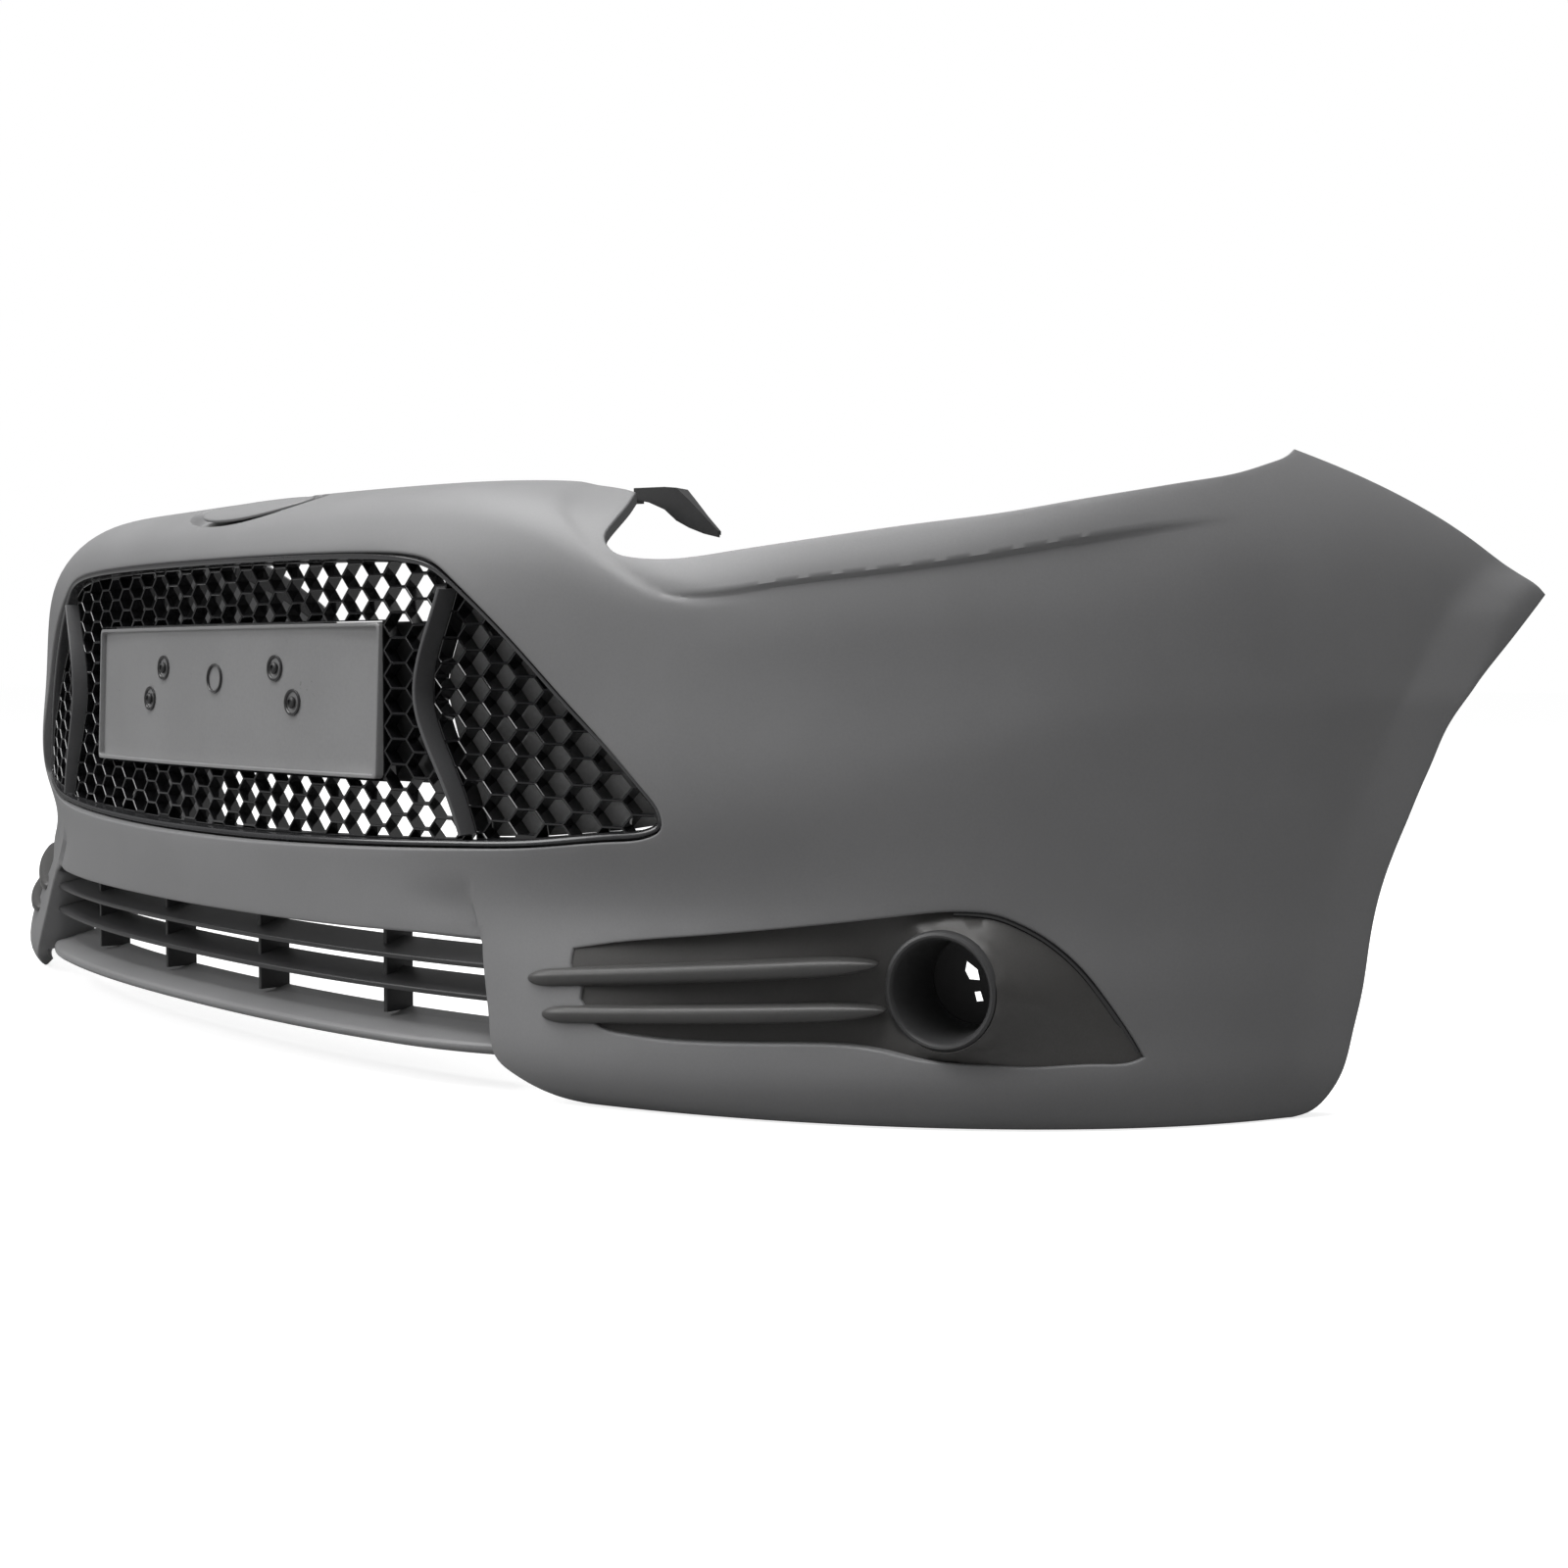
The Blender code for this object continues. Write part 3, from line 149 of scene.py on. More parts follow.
def loopThrough(points, step):
    # a closed smooth curve: the ring overlaps itself at both ends, and only one round of it is kept
    points = np.asarray(points, float)
    ring = np.vstack([points[-6:], points, points[:7]])
    run = runOf(ring)
    count = round((run[6 + len(points)] - run[6]) / step)
    at = np.linspace(run[6], run[6 + len(points)], count + 1)[:-1]
    return splineAt(run, ring, bendsOf(run, ring), at)


def straightThrough(points, step):
    # a broken line through the points, with a point about every step
    points = np.asarray(points, float)
    run = runOf(points)
    at = np.unique(np.concatenate([run] + [np.linspace(a, b, max(2, round((b - a) / step) + 1))
                                           for a, b in zip(run, run[1:])]).round(6))
    return np.stack([np.interp(at, run, points[:, k]) for k in (0, 1)], -1)


def levelLine(across, height):
    # points along across, all at one height
    return np.stack([across, np.full(len(across), height)], -1)


def bothHalves(right):
    # a closed loop, the same left and right, from its right-hand half (both ends on s = 0)
    return np.vstack([right, right[-2:0:-1] * [-1, 1]])


# the plan curve and the skin's surface
halfPlan = np.array(cover['plan'])
planPoints = np.vstack([halfPlan[:0:-1] * [-1, 1], halfPlan])
chord = runOf(planPoints)
fineChord = np.linspace(0, chord[-1], 6001)
planLine = splineAt(chord, planPoints, bendsOf(chord, planPoints), fineChord)
planS = runOf(planLine)
planS -= planS[-1] / 2
planT = np.gradient(planLine, planS, axis=0)
planT /= np.linalg.norm(planT, axis=1)[:, None]
stations = np.array(cover['stations'])
stations = np.concatenate([-stations[:0:-1], stations])
rows = np.stack([np.array(cover['rowZ']).T, np.array(cover['rowOff']).T], -1)
rows = np.concatenate([rows[:0:-1], rows])
rowBends = bendsOf(stations, rows)
rowW = np.array(cover['rowW'])
rowSolver = bendsOf(rowW, np.eye(len(rowW)))
archCrease = np.array(cover['archCrease'])


def smoothStep(low, high, value):
    t = np.clip((value - low) / (high - low), 0, 1)
    return t * t * (3 - 2 * t)


def wallPoint(s, z, off=0.0):
    # point at height z: plan curve at s, moved outward by off at right angles to the curve
    s, z, off = np.broadcast_arrays(np.asarray(s, float), np.asarray(z, float), np.asarray(off, float))
    tx = np.interp(s, planS, planT[:, 0])
    ty = np.interp(s, planS, planT[:, 1])
    x = np.interp(s, planS, planLine[:, 0]) + off * ty
    y = np.interp(s, planS, planLine[:, 1]) - off * tx + shiftY
    return np.stack([x, y, z], -1)


# behind the wheel-arch crease the skin flares out by 9 mm in each 50 mm, 1.3 times that at most
flare = {'out': .009, 'over': .05, 'soft': .06, 'most': 1.3, 'top': .425, 'fade': .03}


def sectionAt(s, w):
    # height and outward offset: the rows' splines along s, then one spline across the rows at w, and
    # the flare (p + square root of (p^2 + soft^2)) / 2 for a distance p past the crease
    s, w = np.broadcast_arrays(np.asarray(s, float), np.asarray(w, float))
    shape = s.shape
    s, w = s.ravel(), w.ravel()
    table = splineAt(stations, rows, rowBends, s)
    bend = np.einsum('ij,njk->nik', rowSolver, table)
    i = np.clip(np.searchsorted(rowW, w) - 1, 0, len(rowW) - 2)
    h = rowW[i + 1] - rowW[i]
    a = ((rowW[i + 1] - w) / h)[:, None]
    b = 1 - a
    n = np.arange(len(i))
    line = a * table[n, i] + b * table[n, i + 1]
    line += ((a ** 3 - a) * bend[n, i] + (b ** 3 - b) * bend[n, i + 1]) * (h ** 2 / 6)[:, None]
    z, off = line[:, 0], line[:, 1]
    past = (np.abs(s) - np.interp(z, archCrease[:, 1], archCrease[:, 0])) / flare['over']
    grown = np.minimum(0.5 * (past + np.sqrt(past ** 2 + flare['soft'] ** 2)), flare['most'])
    off = off + flare['out'] * (grown * np.clip((flare['top'] - z) / flare['fade'], 0, 1))
    return z.reshape(shape), off.reshape(shape)


def bareSkin(s, w):
    z, off = sectionAt(s, w)
    return wallPoint(s, z, off)


def surfaceNormal(surface, s, w, e=0.0015):
    n = np.cross(surface(s + e, w) - surface(s - e, w), surface(s, w + e) - surface(s, w - e))
    return n / np.linalg.norm(n, axis=-1)[..., None]


# the badge's recess is an ellipse about (0, w); wall is the share of its size that the slope takes
badge = {'w': .4600, 'half': .0980, 'rise': .0375, 'deep': .0100, 'wall': .05, 'padHalf': .0830,
         'padRise': .0300}


def badgeRing(s, w):
    # 1 on the edge of the badge's recess, less inside it
    return np.sqrt((s / badge['half']) ** 2 + ((w - badge['w']) / badge['rise']) ** 2)


# fine shaping: the shoulder line, the fold in front of the headlamp, the ridge up the fang, and the band
# over the grille. The mesh's squares stay 'clear' of the lines, and the lines keep a 'margin' to the edges
fold = {
    'shoulder': .4020, 'shoulderDepth': .0030, 'shoulderEnds': (.52, .64, .84, .99),
    'lamp': [(.560, .395), (.520, .403), (.470, .418), (.432, .440), (.415, .470), (.410, .5)],
    'lampDepth': .0016, 'fangTop': (.3685, .1470), 'fangDepth': .0040, 'brow': .022, 'browDepth': .0026,
    'clear': .0017, 'margin': .0025,
}
lampLine = np.array(fold['lamp'])
fangLine = np.array(cover['fang'] + [fold['fangTop']])
browLine = np.array(cover['grille'][:7])


def foldPress(s, w):
    # how far the fine shaping presses the surface in, in metres
    side = np.abs(s)
    # shoulder line: a step 5 mm wide that sinks below the line and comes back slowly over 60 mm
    below = fold['shoulder'] - w
    step = smoothStep(-.0026, .0026, below) * (1 - smoothStep(.003, .060, below))
    start, full, fade, end = fold['shoulderEnds']
    press = fold['shoulderDepth'] * step * smoothStep(start, full, side) * (1 - smoothStep(fade, end, side))
    # fold from the headlamp's front corner down and round to the shoulder line
    past = side - np.interp(w, lampLine[:, 1], lampLine[:, 0])
    press = press + fold['lampDepth'] * smoothStep(-.012, .012, past) * (1 - smoothStep(.012, .075, past)) \
        * smoothStep(.392, .400, w)
    # fang: the skin inboard of its edge lies further in, fading out over 80 mm and above the intake's corner
    past = np.interp(w, fangLine[:, 1], fangLine[:, 0]) - side
    ridge = fold['fangDepth'] * smoothStep(-.0015, .0025, past) * (1 - smoothStep(.0, .08, past))
    press = press + ridge * smoothStep(-.168, -.140, -w) * smoothStep(.105, .118, w)
    # band over the grille: it leans in towards the opening
    edge = wRung(side, np.interp(side, browLine[:, 0], browLine[:, 1]))
    lean = np.clip(1 - (w - edge) / fold['brow'], 0, 1.2)
    return press + fold['browDepth'] * lean * (w > .30) * (1 - smoothStep(.22, .335, side))


def foldLines():
    # rows of points close to the two crisp lines, so that the mesh bends there and not beside them
    along = np.arange(.54, .98, .005)
    across = [levelLine(along, fold['shoulder'] + k) for k in (-.0024, 0, .0024)]
    z = np.arange(.1080, .1680, .0035)
    edge = np.interp(z, fangLine[:, 1], fangLine[:, 0])
    return across + [np.stack([edge - k, z], -1) for k in (-.0016, .0004, .0026)]


def wRung(s, z):
    # w at height z by straight lines between the rows, close enough for laying out a band
    table = splineAt(stations, rows, rowBends, np.atleast_1d(s).ravel())[:, :, 0]
    flat = np.atleast_1d(z).ravel()
    i = np.clip((table < flat[:, None]).sum(1) - 1, 0, len(rowW) - 2)
    n = np.arange(len(flat))
    t = (flat - table[n, i]) / (table[n, i + 1] - table[n, i])
    return (rowW[i] + t * (rowW[i + 1] - rowW[i])).reshape(np.shape(s))


def skinPoint(s, w):
    # the bare surface, pressed in along its normal by the fine shaping and inside the badge's ellipse
    press = badge['deep'] * (1 - smoothStep(1 - badge['wall'], 1 + badge['wall'], badgeRing(s, w)))
    press = press + foldPress(s, w)
    return bareSkin(s, w) - surfaceNormal(bareSkin, s, w) * press[..., None]


def wOf(s, z):
    # the w at which the section at s reaches height z, read off a ladder of rungs
    s, z = np.broadcast_arrays(np.atleast_1d(np.asarray(s, float)), np.atleast_1d(np.asarray(z, float)))
    ladder = np.linspace(0, 0.5, 201)
    heights, _ = sectionAt(s[:, None], ladder[None])
    heights = np.maximum.accumulate(heights, axis=1)
    i = np.clip((heights < z[:, None]).sum(1) - 1, 0, len(ladder) - 2)
    n = np.arange(len(s))
    low, high = heights[n, i], heights[n, i + 1]
    return ladder[i] + np.clip((z - low) / np.maximum(high - low, 1e-9), 0, 1) * (ladder[1] - ladder[0])


def toSurface(loop):
    return np.stack([loop[:, 0], wOf(loop[:, 0], loop[:, 1])], -1)


def offAt(s, z):
    return sectionAt(np.atleast_1d(s), wOf(s, z))[1]


# regions and meshes
def insideLoop(points, loop):
    # a point is inside if a line to its right crosses the loop an odd number of times
    out = []
    for part in np.array_split(points, max(1, len(points) // 2000)):
        x, y = part[:, 0:1], part[:, 1:2]
        a, b = loop, np.roll(loop, -1, axis=0)
        crosses = (a[:, 1] > y) != (b[:, 1] > y)
        rise = np.where(b[:, 1] == a[:, 1], 1e-12, b[:, 1] - a[:, 1])
        at = (b[:, 0] - a[:, 0]) * (y - a[:, 1]) / rise + a[:, 0]
        out.append((crosses & (x < at)).sum(1) % 2 == 1)
    return np.concatenate(out)


def edgeDistance(points, loop):
    # shortest distance from each point to the loop's sides
    out = []
    d = np.roll(loop, -1, axis=0) - loop
    for part in np.array_split(points, max(1, len(points) // 1000)):
        gap = part[:, None] - loop
        t = np.clip((gap * d).sum(-1) / np.maximum((d * d).sum(-1), 1e-12), 0, 1)
        out.append(np.linalg.norm(gap - t[..., None] * d, axis=-1).min(1))
    return np.concatenate(out)


def areaOf(loop):
    x, y = loop[:, 0], loop[:, 1]
    return 0.5 * np.sum(x * np.roll(y, -1) - np.roll(x, -1) * y)


def inset(loop, amount):
    # each corner moves to where its two sides meet once both have moved inward by amount
    loop = np.asarray(loop, float)
    before = loop - np.roll(loop, 1, axis=0)
    after = np.roll(loop, -1, axis=0) - loop
    before = before / np.linalg.norm(before, axis=1)[:, None]
    after = after / np.linalg.norm(after, axis=1)[:, None]
    n1 = np.stack([-before[:, 1], before[:, 0]], -1)
    n = n1 + np.stack([-after[:, 1], after[:, 0]], -1)
    n /= np.linalg.norm(n, axis=1)[:, None]
    reach = amount / np.maximum((n * n1).sum(-1), 0.5)
    return loop + n * reach[:, None] * np.sign(areaOf(loop))


def fillRegion(outer, holes, innerPoints):
    # triangles over a region with holes, and the point numbers along each of its edges
    loops = [np.asarray(outer, float)] + [np.asarray(h, float) for h in holes]
    starts = np.cumsum([0] + [len(l) for l in loops])
    points = np.vstack(loops + ([innerPoints] if len(innerPoints) else []))
    edges = [(a + k, a + (k + 1) % (b - a)) for a, b in zip(starts, starts[1:]) for k in range(b - a)]
    out = delaunay_2d_cdt([Vector(p) for p in points], edges, [], 0, 1e-8)
    flat = np.array([tuple(v) for v in out[0]])
    tris = np.array(out[2])
    middle = flat[tris].mean(axis=1)
    keep = insideLoop(middle, loops[0])
    for hole in loops[1:]:
        near = keep & (np.abs(middle - hole.mean(0)) < np.ptp(hole, axis=0)).all(1)
        keep[near] = ~insideLoop(middle[near], hole)
    tris = tris[keep]
    a, b, c = flat[tris[:, 0]], flat[tris[:, 1]], flat[tris[:, 2]]
    turn = (b[:, 0] - a[:, 0]) * (c[:, 1] - a[:, 1]) - (b[:, 1] - a[:, 1]) * (c[:, 0] - a[:, 0])
    tris[turn < 0] = tris[turn < 0][:, ::-1]
    order = {old: new for new, olds in enumerate(out[3]) for old in olds}
    rims = [np.array([order[k] for k in range(a, b)]) for a, b in zip(starts, starts[1:])]
    return flat, tris, rims


def clearOf(points, outer, holes, margin):
    # the points inside the outer loop and outside the holes, none nearer than margin to an edge
    points = points[insideLoop(points, outer)]
    points = points[edgeDistance(points, outer) > margin]
    for hole in holes:
        points = points[~insideLoop(points, hole)]
        points = points[edgeDistance(points, hole) > margin]
    return points


def gridInside(outer, holes, step, margin):
    # a square grid of points, step apart
    low, high = outer.min(0), outer.max(0)
    axes = [np.arange(math.ceil(low[k] / step), math.floor(high[k] / step) + 1) * step for k in (0, 1)]
    return clearOf(np.stack(np.meshgrid(*axes), -1).reshape(-1, 2), outer, holes, margin)


def makePiece(name, verts, faces, sharp=32):
    # a mesh with its faces turned outward, smooth except where it bends by more than sharp degrees
    mesh = bpy.data.meshes.new(name)
    mesh.from_pydata(np.asarray(verts, float).tolist(), [], [list(map(int, f)) for f in faces])
    edit = bmesh.new()
    edit.from_mesh(mesh)
    bmesh.ops.remove_doubles(edit, verts=edit.verts, dist=1e-6)
    bmesh.ops.recalc_face_normals(edit, faces=edit.faces)
    edit.to_mesh(mesh)
    edit.free()
    mesh.shade_smooth()
    mesh.set_sharp_from_angle(angle=math.radians(sharp))
    piece = bpy.data.objects.new(name, mesh)
    bpy.context.scene.collection.objects.link(piece)
    return piece


def fullTurn(count):
    # equal angles round a circle
    return np.arange(count) * 2 * math.pi / count


def bridge(a, b):
    # quads between two closed rows of point numbers
    return np.stack([a, b, np.roll(b, -1), np.roll(a, -1)], -1)


def gridFaces(count, across, wrap=False):
    # quads between neighbouring closed sections; wrap joins the last section to the first
    i = np.arange(count if wrap else count - 1)[:, None]
    j = np.arange(across)[None]
    m, k = (i + 1) % count, (j + 1) % across
    return np.stack([i * across + j, i * across + k, m * across + k, m * across + j], -1).reshape(-1, 4)


def sweep(name, sections, wrap=False, sharp=32):
    # sections[i, j] is point j of the closed profile at step i of the path; open paths get an end face each
    count, across = sections.shape[:2]
    faces = gridFaces(count, across, wrap).tolist()
    if not wrap:
        faces += [list(range(across))[::-1], [(count - 1) * across + k for k in range(across)]]
    return makePiece(name, sections.reshape(-1, 3), faces, sharp)


def turned(name, profile, centre, axis, sides, closed=False):
    # centre + axis * along + radius * (side cos a + other sin a); closed joins the profile's ends
    axis = Vector(axis).normalized()
    side = axis.orthogonal().normalized()
    other = axis.cross(side)
    radius, along = np.array(profile, float).T
    angle = fullTurn(sides)
    spokes = np.cos(angle)[:, None] * np.array(side) + np.sin(angle)[:, None] * np.array(other)
    grid = np.array(centre) + along[:, None, None] * np.array(axis) + radius[:, None, None] * spokes[None]
    return sweep(name, grid, wrap=closed)


def roundedProfile(corners, radii, parts=4):
    # a closed profile with rounded corners: a quadratic curve joins the points a radius to each side of one
    corners = np.asarray(corners, float)
    radii = np.broadcast_to(np.asarray(radii, float), len(corners))
    toLast = np.roll(corners, 1, axis=0) - corners
    toNext = np.roll(corners, -1, axis=0) - corners
    a = corners + toLast / np.linalg.norm(toLast, axis=1)[:, None] * radii[:, None]
    b = corners + toNext / np.linalg.norm(toNext, axis=1)[:, None] * radii[:, None]
    t = np.linspace(0, 1, parts)[None, :, None]
    return ((1 - t) ** 2 * a[:, None] + 2 * t * (1 - t) * corners[:, None] + t ** 2 * b[:, None]).reshape(-1, 2)


def settle(piece, finish, node):
    # every remade piece rides on the cover and stands in for one node
    piece.data.materials.append(materials[finish])
    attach(piece, 'cover')
    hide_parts(node)
    return piece


# shader maths as Python sums
class Wire:
    # wraps one output socket; sums on it add Math nodes, and the node function makes any other kind
    def __init__(self, tree, socket=None):
        self.tree = tree
        self.socket = socket

    def node(self, kind, settings, sockets, out=0):
        made = self.tree.nodes.new('ShaderNode' + kind)
        for name, value in settings.items():
            setattr(made, name, value)
        for name, value in sockets.items():
            if isinstance(value, Wire):
                self.tree.links.new(value.socket, made.inputs[name])
            else:
                made.inputs[name].default_value = value
        return Wire(self.tree, made.outputs[out])

    def maths(self, operation, first, second):
        return self.node('Math', {'operation': operation}, {0: first, 1: second})

    def __add__(self, other):
        return self.maths('ADD', self, other)

    def __sub__(self, other):
        return self.maths('SUBTRACT', self, other)

    def __rsub__(self, other):
        return self.maths('SUBTRACT', other, self)

    def __mul__(self, other):
        return self.maths('MULTIPLY', self, other)

    __radd__ = __add__
    __rmul__ = __mul__

    def noise(self, place, scale, detail, rough):
        return self.node('TexNoise', {}, {'Vector': place, 'Scale': scale, 'Detail': detail,
                                          'Roughness': rough})

    def between(self, low, high):
        # the share of the way from low to high, held within 0 and 1
        return self.node('MapRange', {'interpolation_type': 'SMOOTHSTEP'},
                         {'Value': self, 'From Min': low, 'From Max': high})

    def tint(self, dark, light):
        # colour mixed from dark to light by this value
        return self.node('Mix', {'data_type': 'RGBA'}, {0: self, 6: (*dark, 1), 7: (*light, 1)}, 2)


finishes = {
    # base colour, its drift, roughness, its drift, coat, grains per metre, their depth, clouds per metre
    'primer': ((.182, .182, .185), .05, .50, .05, .0, 1500, .00008, 7),
    'glossBlack': ((.010, .010, .011), .20, .10, .05, .5, 240, .00004, 25),
    'trimSatin': ((.030, .030, .031), .12, .42, .08, .0, 2200, .00012, 16),
    'podSatin': ((.064, .062, .060), .12, .36, .06, .0, 2200, .00008, 16),
    'tubeSatin': ((.047, .047, .048), .10, .42, .06, .0, 2000, .00010, 20),
    'bladeSatin': ((.062, .061, .060), .10, .40, .06, .0, 2000, .00010, 20),
    'dividerSatin': ((.100, .100, .103), .10, .34, .06, .1, 1800, .00005, 14),
    'plateSatin': ((.250, .250, .253), .06, .30, .05, .15, 900, .00004, 9),
    # the dark rings round the bosses and the centre are painted shade: their colour stands in for the shadow of
    # a groove round each
    'ringPaintedShade': ((.030, .030, .031), .10, .30, .05, .2, 900, .00003, 40),
    'lipGrey': ((.200, .200, .203), .06, .38, .05, .0, 1500, .00006, 10),
    'backingGrey': ((.420, .420, .424), .12, .45, .08, .0, 900, .00006, 18),
    'rimGrey': ((.035, .035, .037), .10, .18, .05, .3, 700, .00003, 12),
    'fastenerBlack': ((.020, .020, .021), .12, .46, .08, .0, 1800, .00010, 60),
    'bracketBlack': ((.035, .035, .036), .14, .52, .08, .0, 1300, .00015, 30),
}


def makeFinish(name, colour, drift, rough, roughDrift, coat, grain, deep, broad):
    # the colour goes from base * (1 - drift) to base * (1 + drift) with the noise, the roughness is
    # rough + 2 roughDrift (cloud - 1/2) + roughDrift (speck - 1/2), and a fine grain bumps the surface
    made = bpy.data.materials.new(name)
    made.use_nodes = True
    tree = made.node_tree
    shader = tree.nodes['Principled BSDF']
    wire = Wire(tree)
    place = wire.node('TexCoord', {}, {}, 3)
    cloud = wire.noise(place, broad, 4.0, .6)
    speck = wire.noise(place, grain * .35, 2.0, .5)
    fine = wire.noise(place, grain, 2.0, .6)
    shade = (cloud * .65 + speck * .35).between(.3, .7)
    low = tuple(c * (1 - drift) for c in colour)
    high = tuple(c * (1 + drift) for c in colour)
    tree.links.new(shade.tint(low, high).socket, shader.inputs['Base Color'])
    tree.links.new(((cloud - .5) * (2 * roughDrift) + (speck - .5) * roughDrift + rough).socket,
                   shader.inputs['Roughness'])
    bump = wire.node('Bump', {}, {'Strength': .6, 'Distance': deep, 'Height': fine})
    tree.links.new(bump.socket, shader.inputs['Normal'])
    shader.inputs['Coat Weight'].default_value = coat
    shader.inputs['Coat Roughness'].default_value = .08
    made.diffuse_color = (*colour, 1)
    return made


materials = {name: makeFinish(name, *look) for name, look in finishes.items()}
print('finishes made:', len(materials))


# fascia: the primed skin with its rolled edges, and flanges that run back from them
flange = {'outer': .010, 'grille': .012, 'fog': .011, 'corner': .042, 'rising': .004, 'arch': .014}


def skinOutline():
    step = cover['edge']
    top = levelLine(np.linspace(0, .452, 108), .5)
    corners = [cover['headlamp'], cover['fender'], cover['arch'],
               [(1.020, 0), (.90, 0), (.75, 0), (.60, 0), (.484, 0)], cover['fang'], cover['intakeTop']]
    parts = [curveThrough(part, step) for part in corners]
    low = np.vstack([part[:-1] for part in parts[:4]] + parts[4:])
    return bothHalves(np.vstack([top, toSurface(low)]))


def flangeDepth(s, w, which):
    # edge 0 is the skin's own, deeper at the intake's corners and along the wheel arch; 1 is the grille's
    s = np.abs(s)
    if which:
        return np.full(len(s), flange['grille' if which == 1 else 'fog'])
    depth = np.full(len(s), flange['outer'])
    depth += flange['corner'] * smoothStep(.414, .404, s) * smoothStep(.3755, .380, s) * (w < .13)
    depth += flange['rising'] * (s < .3765) * (w < .13)
    return depth + flange['arch'] * (s > 1.02) * (w < .40)


def fogOutline(step):
    # smooth upper and lower edges that meet at the rear point, and a stepped left end
    upper, lower = curveThrough(cover['fogUpper'], step), curveThrough(cover['fogLower'], step)
    return np.vstack([upper[:-1], lower[:-1], straightThrough(cover['fogSteps'], step)[:-1]])


def buildFascia():
    roll = cover['roll']
    grille = toSurface(loopThrough(bothHalves(np.array(cover['grille'])), cover['edge']))
    fogRight = toSurface(fogOutline(cover['edge'] * .8))
    loops = [skinOutline(), grille, fogRight, (fogRight * [-1, 1])[::-1]]
    rolled = [inset(l, roll if k == 0 else -roll) for k, l in enumerate(loops)]
    rings = [np.stack([badge['half'] * q * np.cos(a), badge['w'] + badge['rise'] * q * np.sin(a)], -1)
             for a in [fullTurn(150)] for q in (.955, .977, 1, 1.023, 1.045)]
    squares = gridInside(rolled[0], rolled[1:], cover['mesh'], cover['mesh'] * .55)
    squares = squares[np.abs(badgeRing(*squares.T) - 1) > .09]
    extra = np.vstack([line * [side, 1] for line in foldLines() for side in (1, -1)])
    near = np.hypot(*(squares[:, None] - extra[None]).transpose(2, 0, 1)).min(1)
    squares = squares[near > fold['clear']]
    extra = clearOf(extra, rolled[0], rolled[1:], fold['margin'])
    flat, tris, rims = fillRegion(rolled[0], rolled[1:], np.vstack([squares, extra] + rings))
    s, w = flat.T
    front = skinPoint(s, w)
    normal = surfaceNormal(skinPoint, s, w)
    back = front - normal * cover['thick']
    count = len(flat)
    verts = [front, back]
    faces = [tris, tris[:, ::-1] + count]
    base = 2 * count
    for which, (rim, edge) in enumerate(zip(rims, loops)):
        size = len(rim)
        start, n = front[rim], normal[rim]
        corner = skinPoint(*edge.T)
        out = corner - start
        out -= n * (out * n).sum(-1)[:, None]
        out /= np.maximum(np.linalg.norm(out, axis=1), 1e-9)[:, None]
        inward = -n
        if which:
            # the rims of openings run straight back, level with the ground
            inward = wallPoint(edge[:, 0], corner[:, 2]) - wallPoint(edge[:, 0], corner[:, 2], 1.0)
        down = corner + inward * roll
        bend = [(1 - t) ** 2 * start + 2 * t * (1 - t) * corner + t * t * down for t in (.25, .5, .75, 1)]
        end = corner + inward * flangeDepth(edge[:, 0], edge[:, 1], which)[:, None]
        inner = end - out * cover['thick'] * .75
        back[rim] = start - n * cover['thick'] - out * .0012
        ladder = [rim] + [base + k * size + np.arange(size) for k in range(6)] + [rim + count]
        verts += bend + [end, inner]
        base += 6 * size
        for a, b in zip(ladder, ladder[1:]):
            faces.append(bridge(a, b))
    piece = makePiece('fascia', np.vstack(verts), [f for part in faces for f in part.tolist()], 38)
    return settle(piece, 'primer', 'fascia_skin')


fascia = buildFascia()
print('fascia:', len(fascia.data.polygons), 'faces')


# grille surround: a gloss ring just inside the opening
def insideOpening(clear):
    return inset(loopThrough(bothHalves(np.array(cover['grille'])), .004), clear)


surround = {'gap': .0020, 'wide': .0060, 'front': -.0042, 'back': -.0235, 'hook': -.0045, 'hookFront': -.0130,
            'round': .0012, 'sharp': .0004}


def buildSurround():
    # a profile of (distance in from the ring's outer side, offset), with a hook behind the skin's edge
    wide = surround['wide'] - surround['gap']
    front, back, hook, hookFront = (surround[k] for k in ('front', 'back', 'hook', 'hookFront'))
    profile = roundedProfile([(0, front), (wide, front - .0012), (wide, back), (hook, back), (hook, hookFront),
                              (0, hookFront)], [surround['round']] * 2 + [surround['sharp']] * 4)
    near, far = insideOpening(surround['gap']), insideOpening(surround['wide'])
    share = profile[:, 0] / wide
    loop = near[:, None] * (1 - share[None, :, None]) + far[:, None] * share[None, :, None]
    piece = sweep('grilleSurround', wallPoint(loop[..., 0], loop[..., 1], profile[None, :, 1]), wrap=True)
    settle(piece, 'rimGrey', 'grille_surround')


buildSurround()

# number-plate panel, its bosses, screws and centre ring
plate = {
    'half': .2515, 'low': .2365, 'high': .3632, 'crown': .0125, 'lean': .0046, 'sunk': .0030, 'endSunk': .0018,
    'corner': .0040, 'bosses': [(.1017, .3258), (.1300, .2968), (-.1017, .3258), (-.1300, .2968)],
    'ring': (0, .3165),
    # profiles of (radius, distance in front of the tray)
    'bossProfile': [(.0088, -.001), (.0112, -.001), (.0115, .0008), (.0112, .0016), (.0105, .0018),
                    (.0095, .0016), (.0089, .0008)],
    'screwProfile': [(.0002, -.007), (.0024, -.007), (.0025, .0006), (.0050, .0007), (.0053, .0014),
                     (.0050, .0025), (.0040, .0032), (.0026, .0035), (.0024, .0024), (.0002, .0022)],
    'ringProfile': [(.0110, -.001), (.0129, -.001), (.0132, .0008), (.0129, .0018), (.0121, .0020),
                    (.0113, .0017), (.0109, .0008)],
}


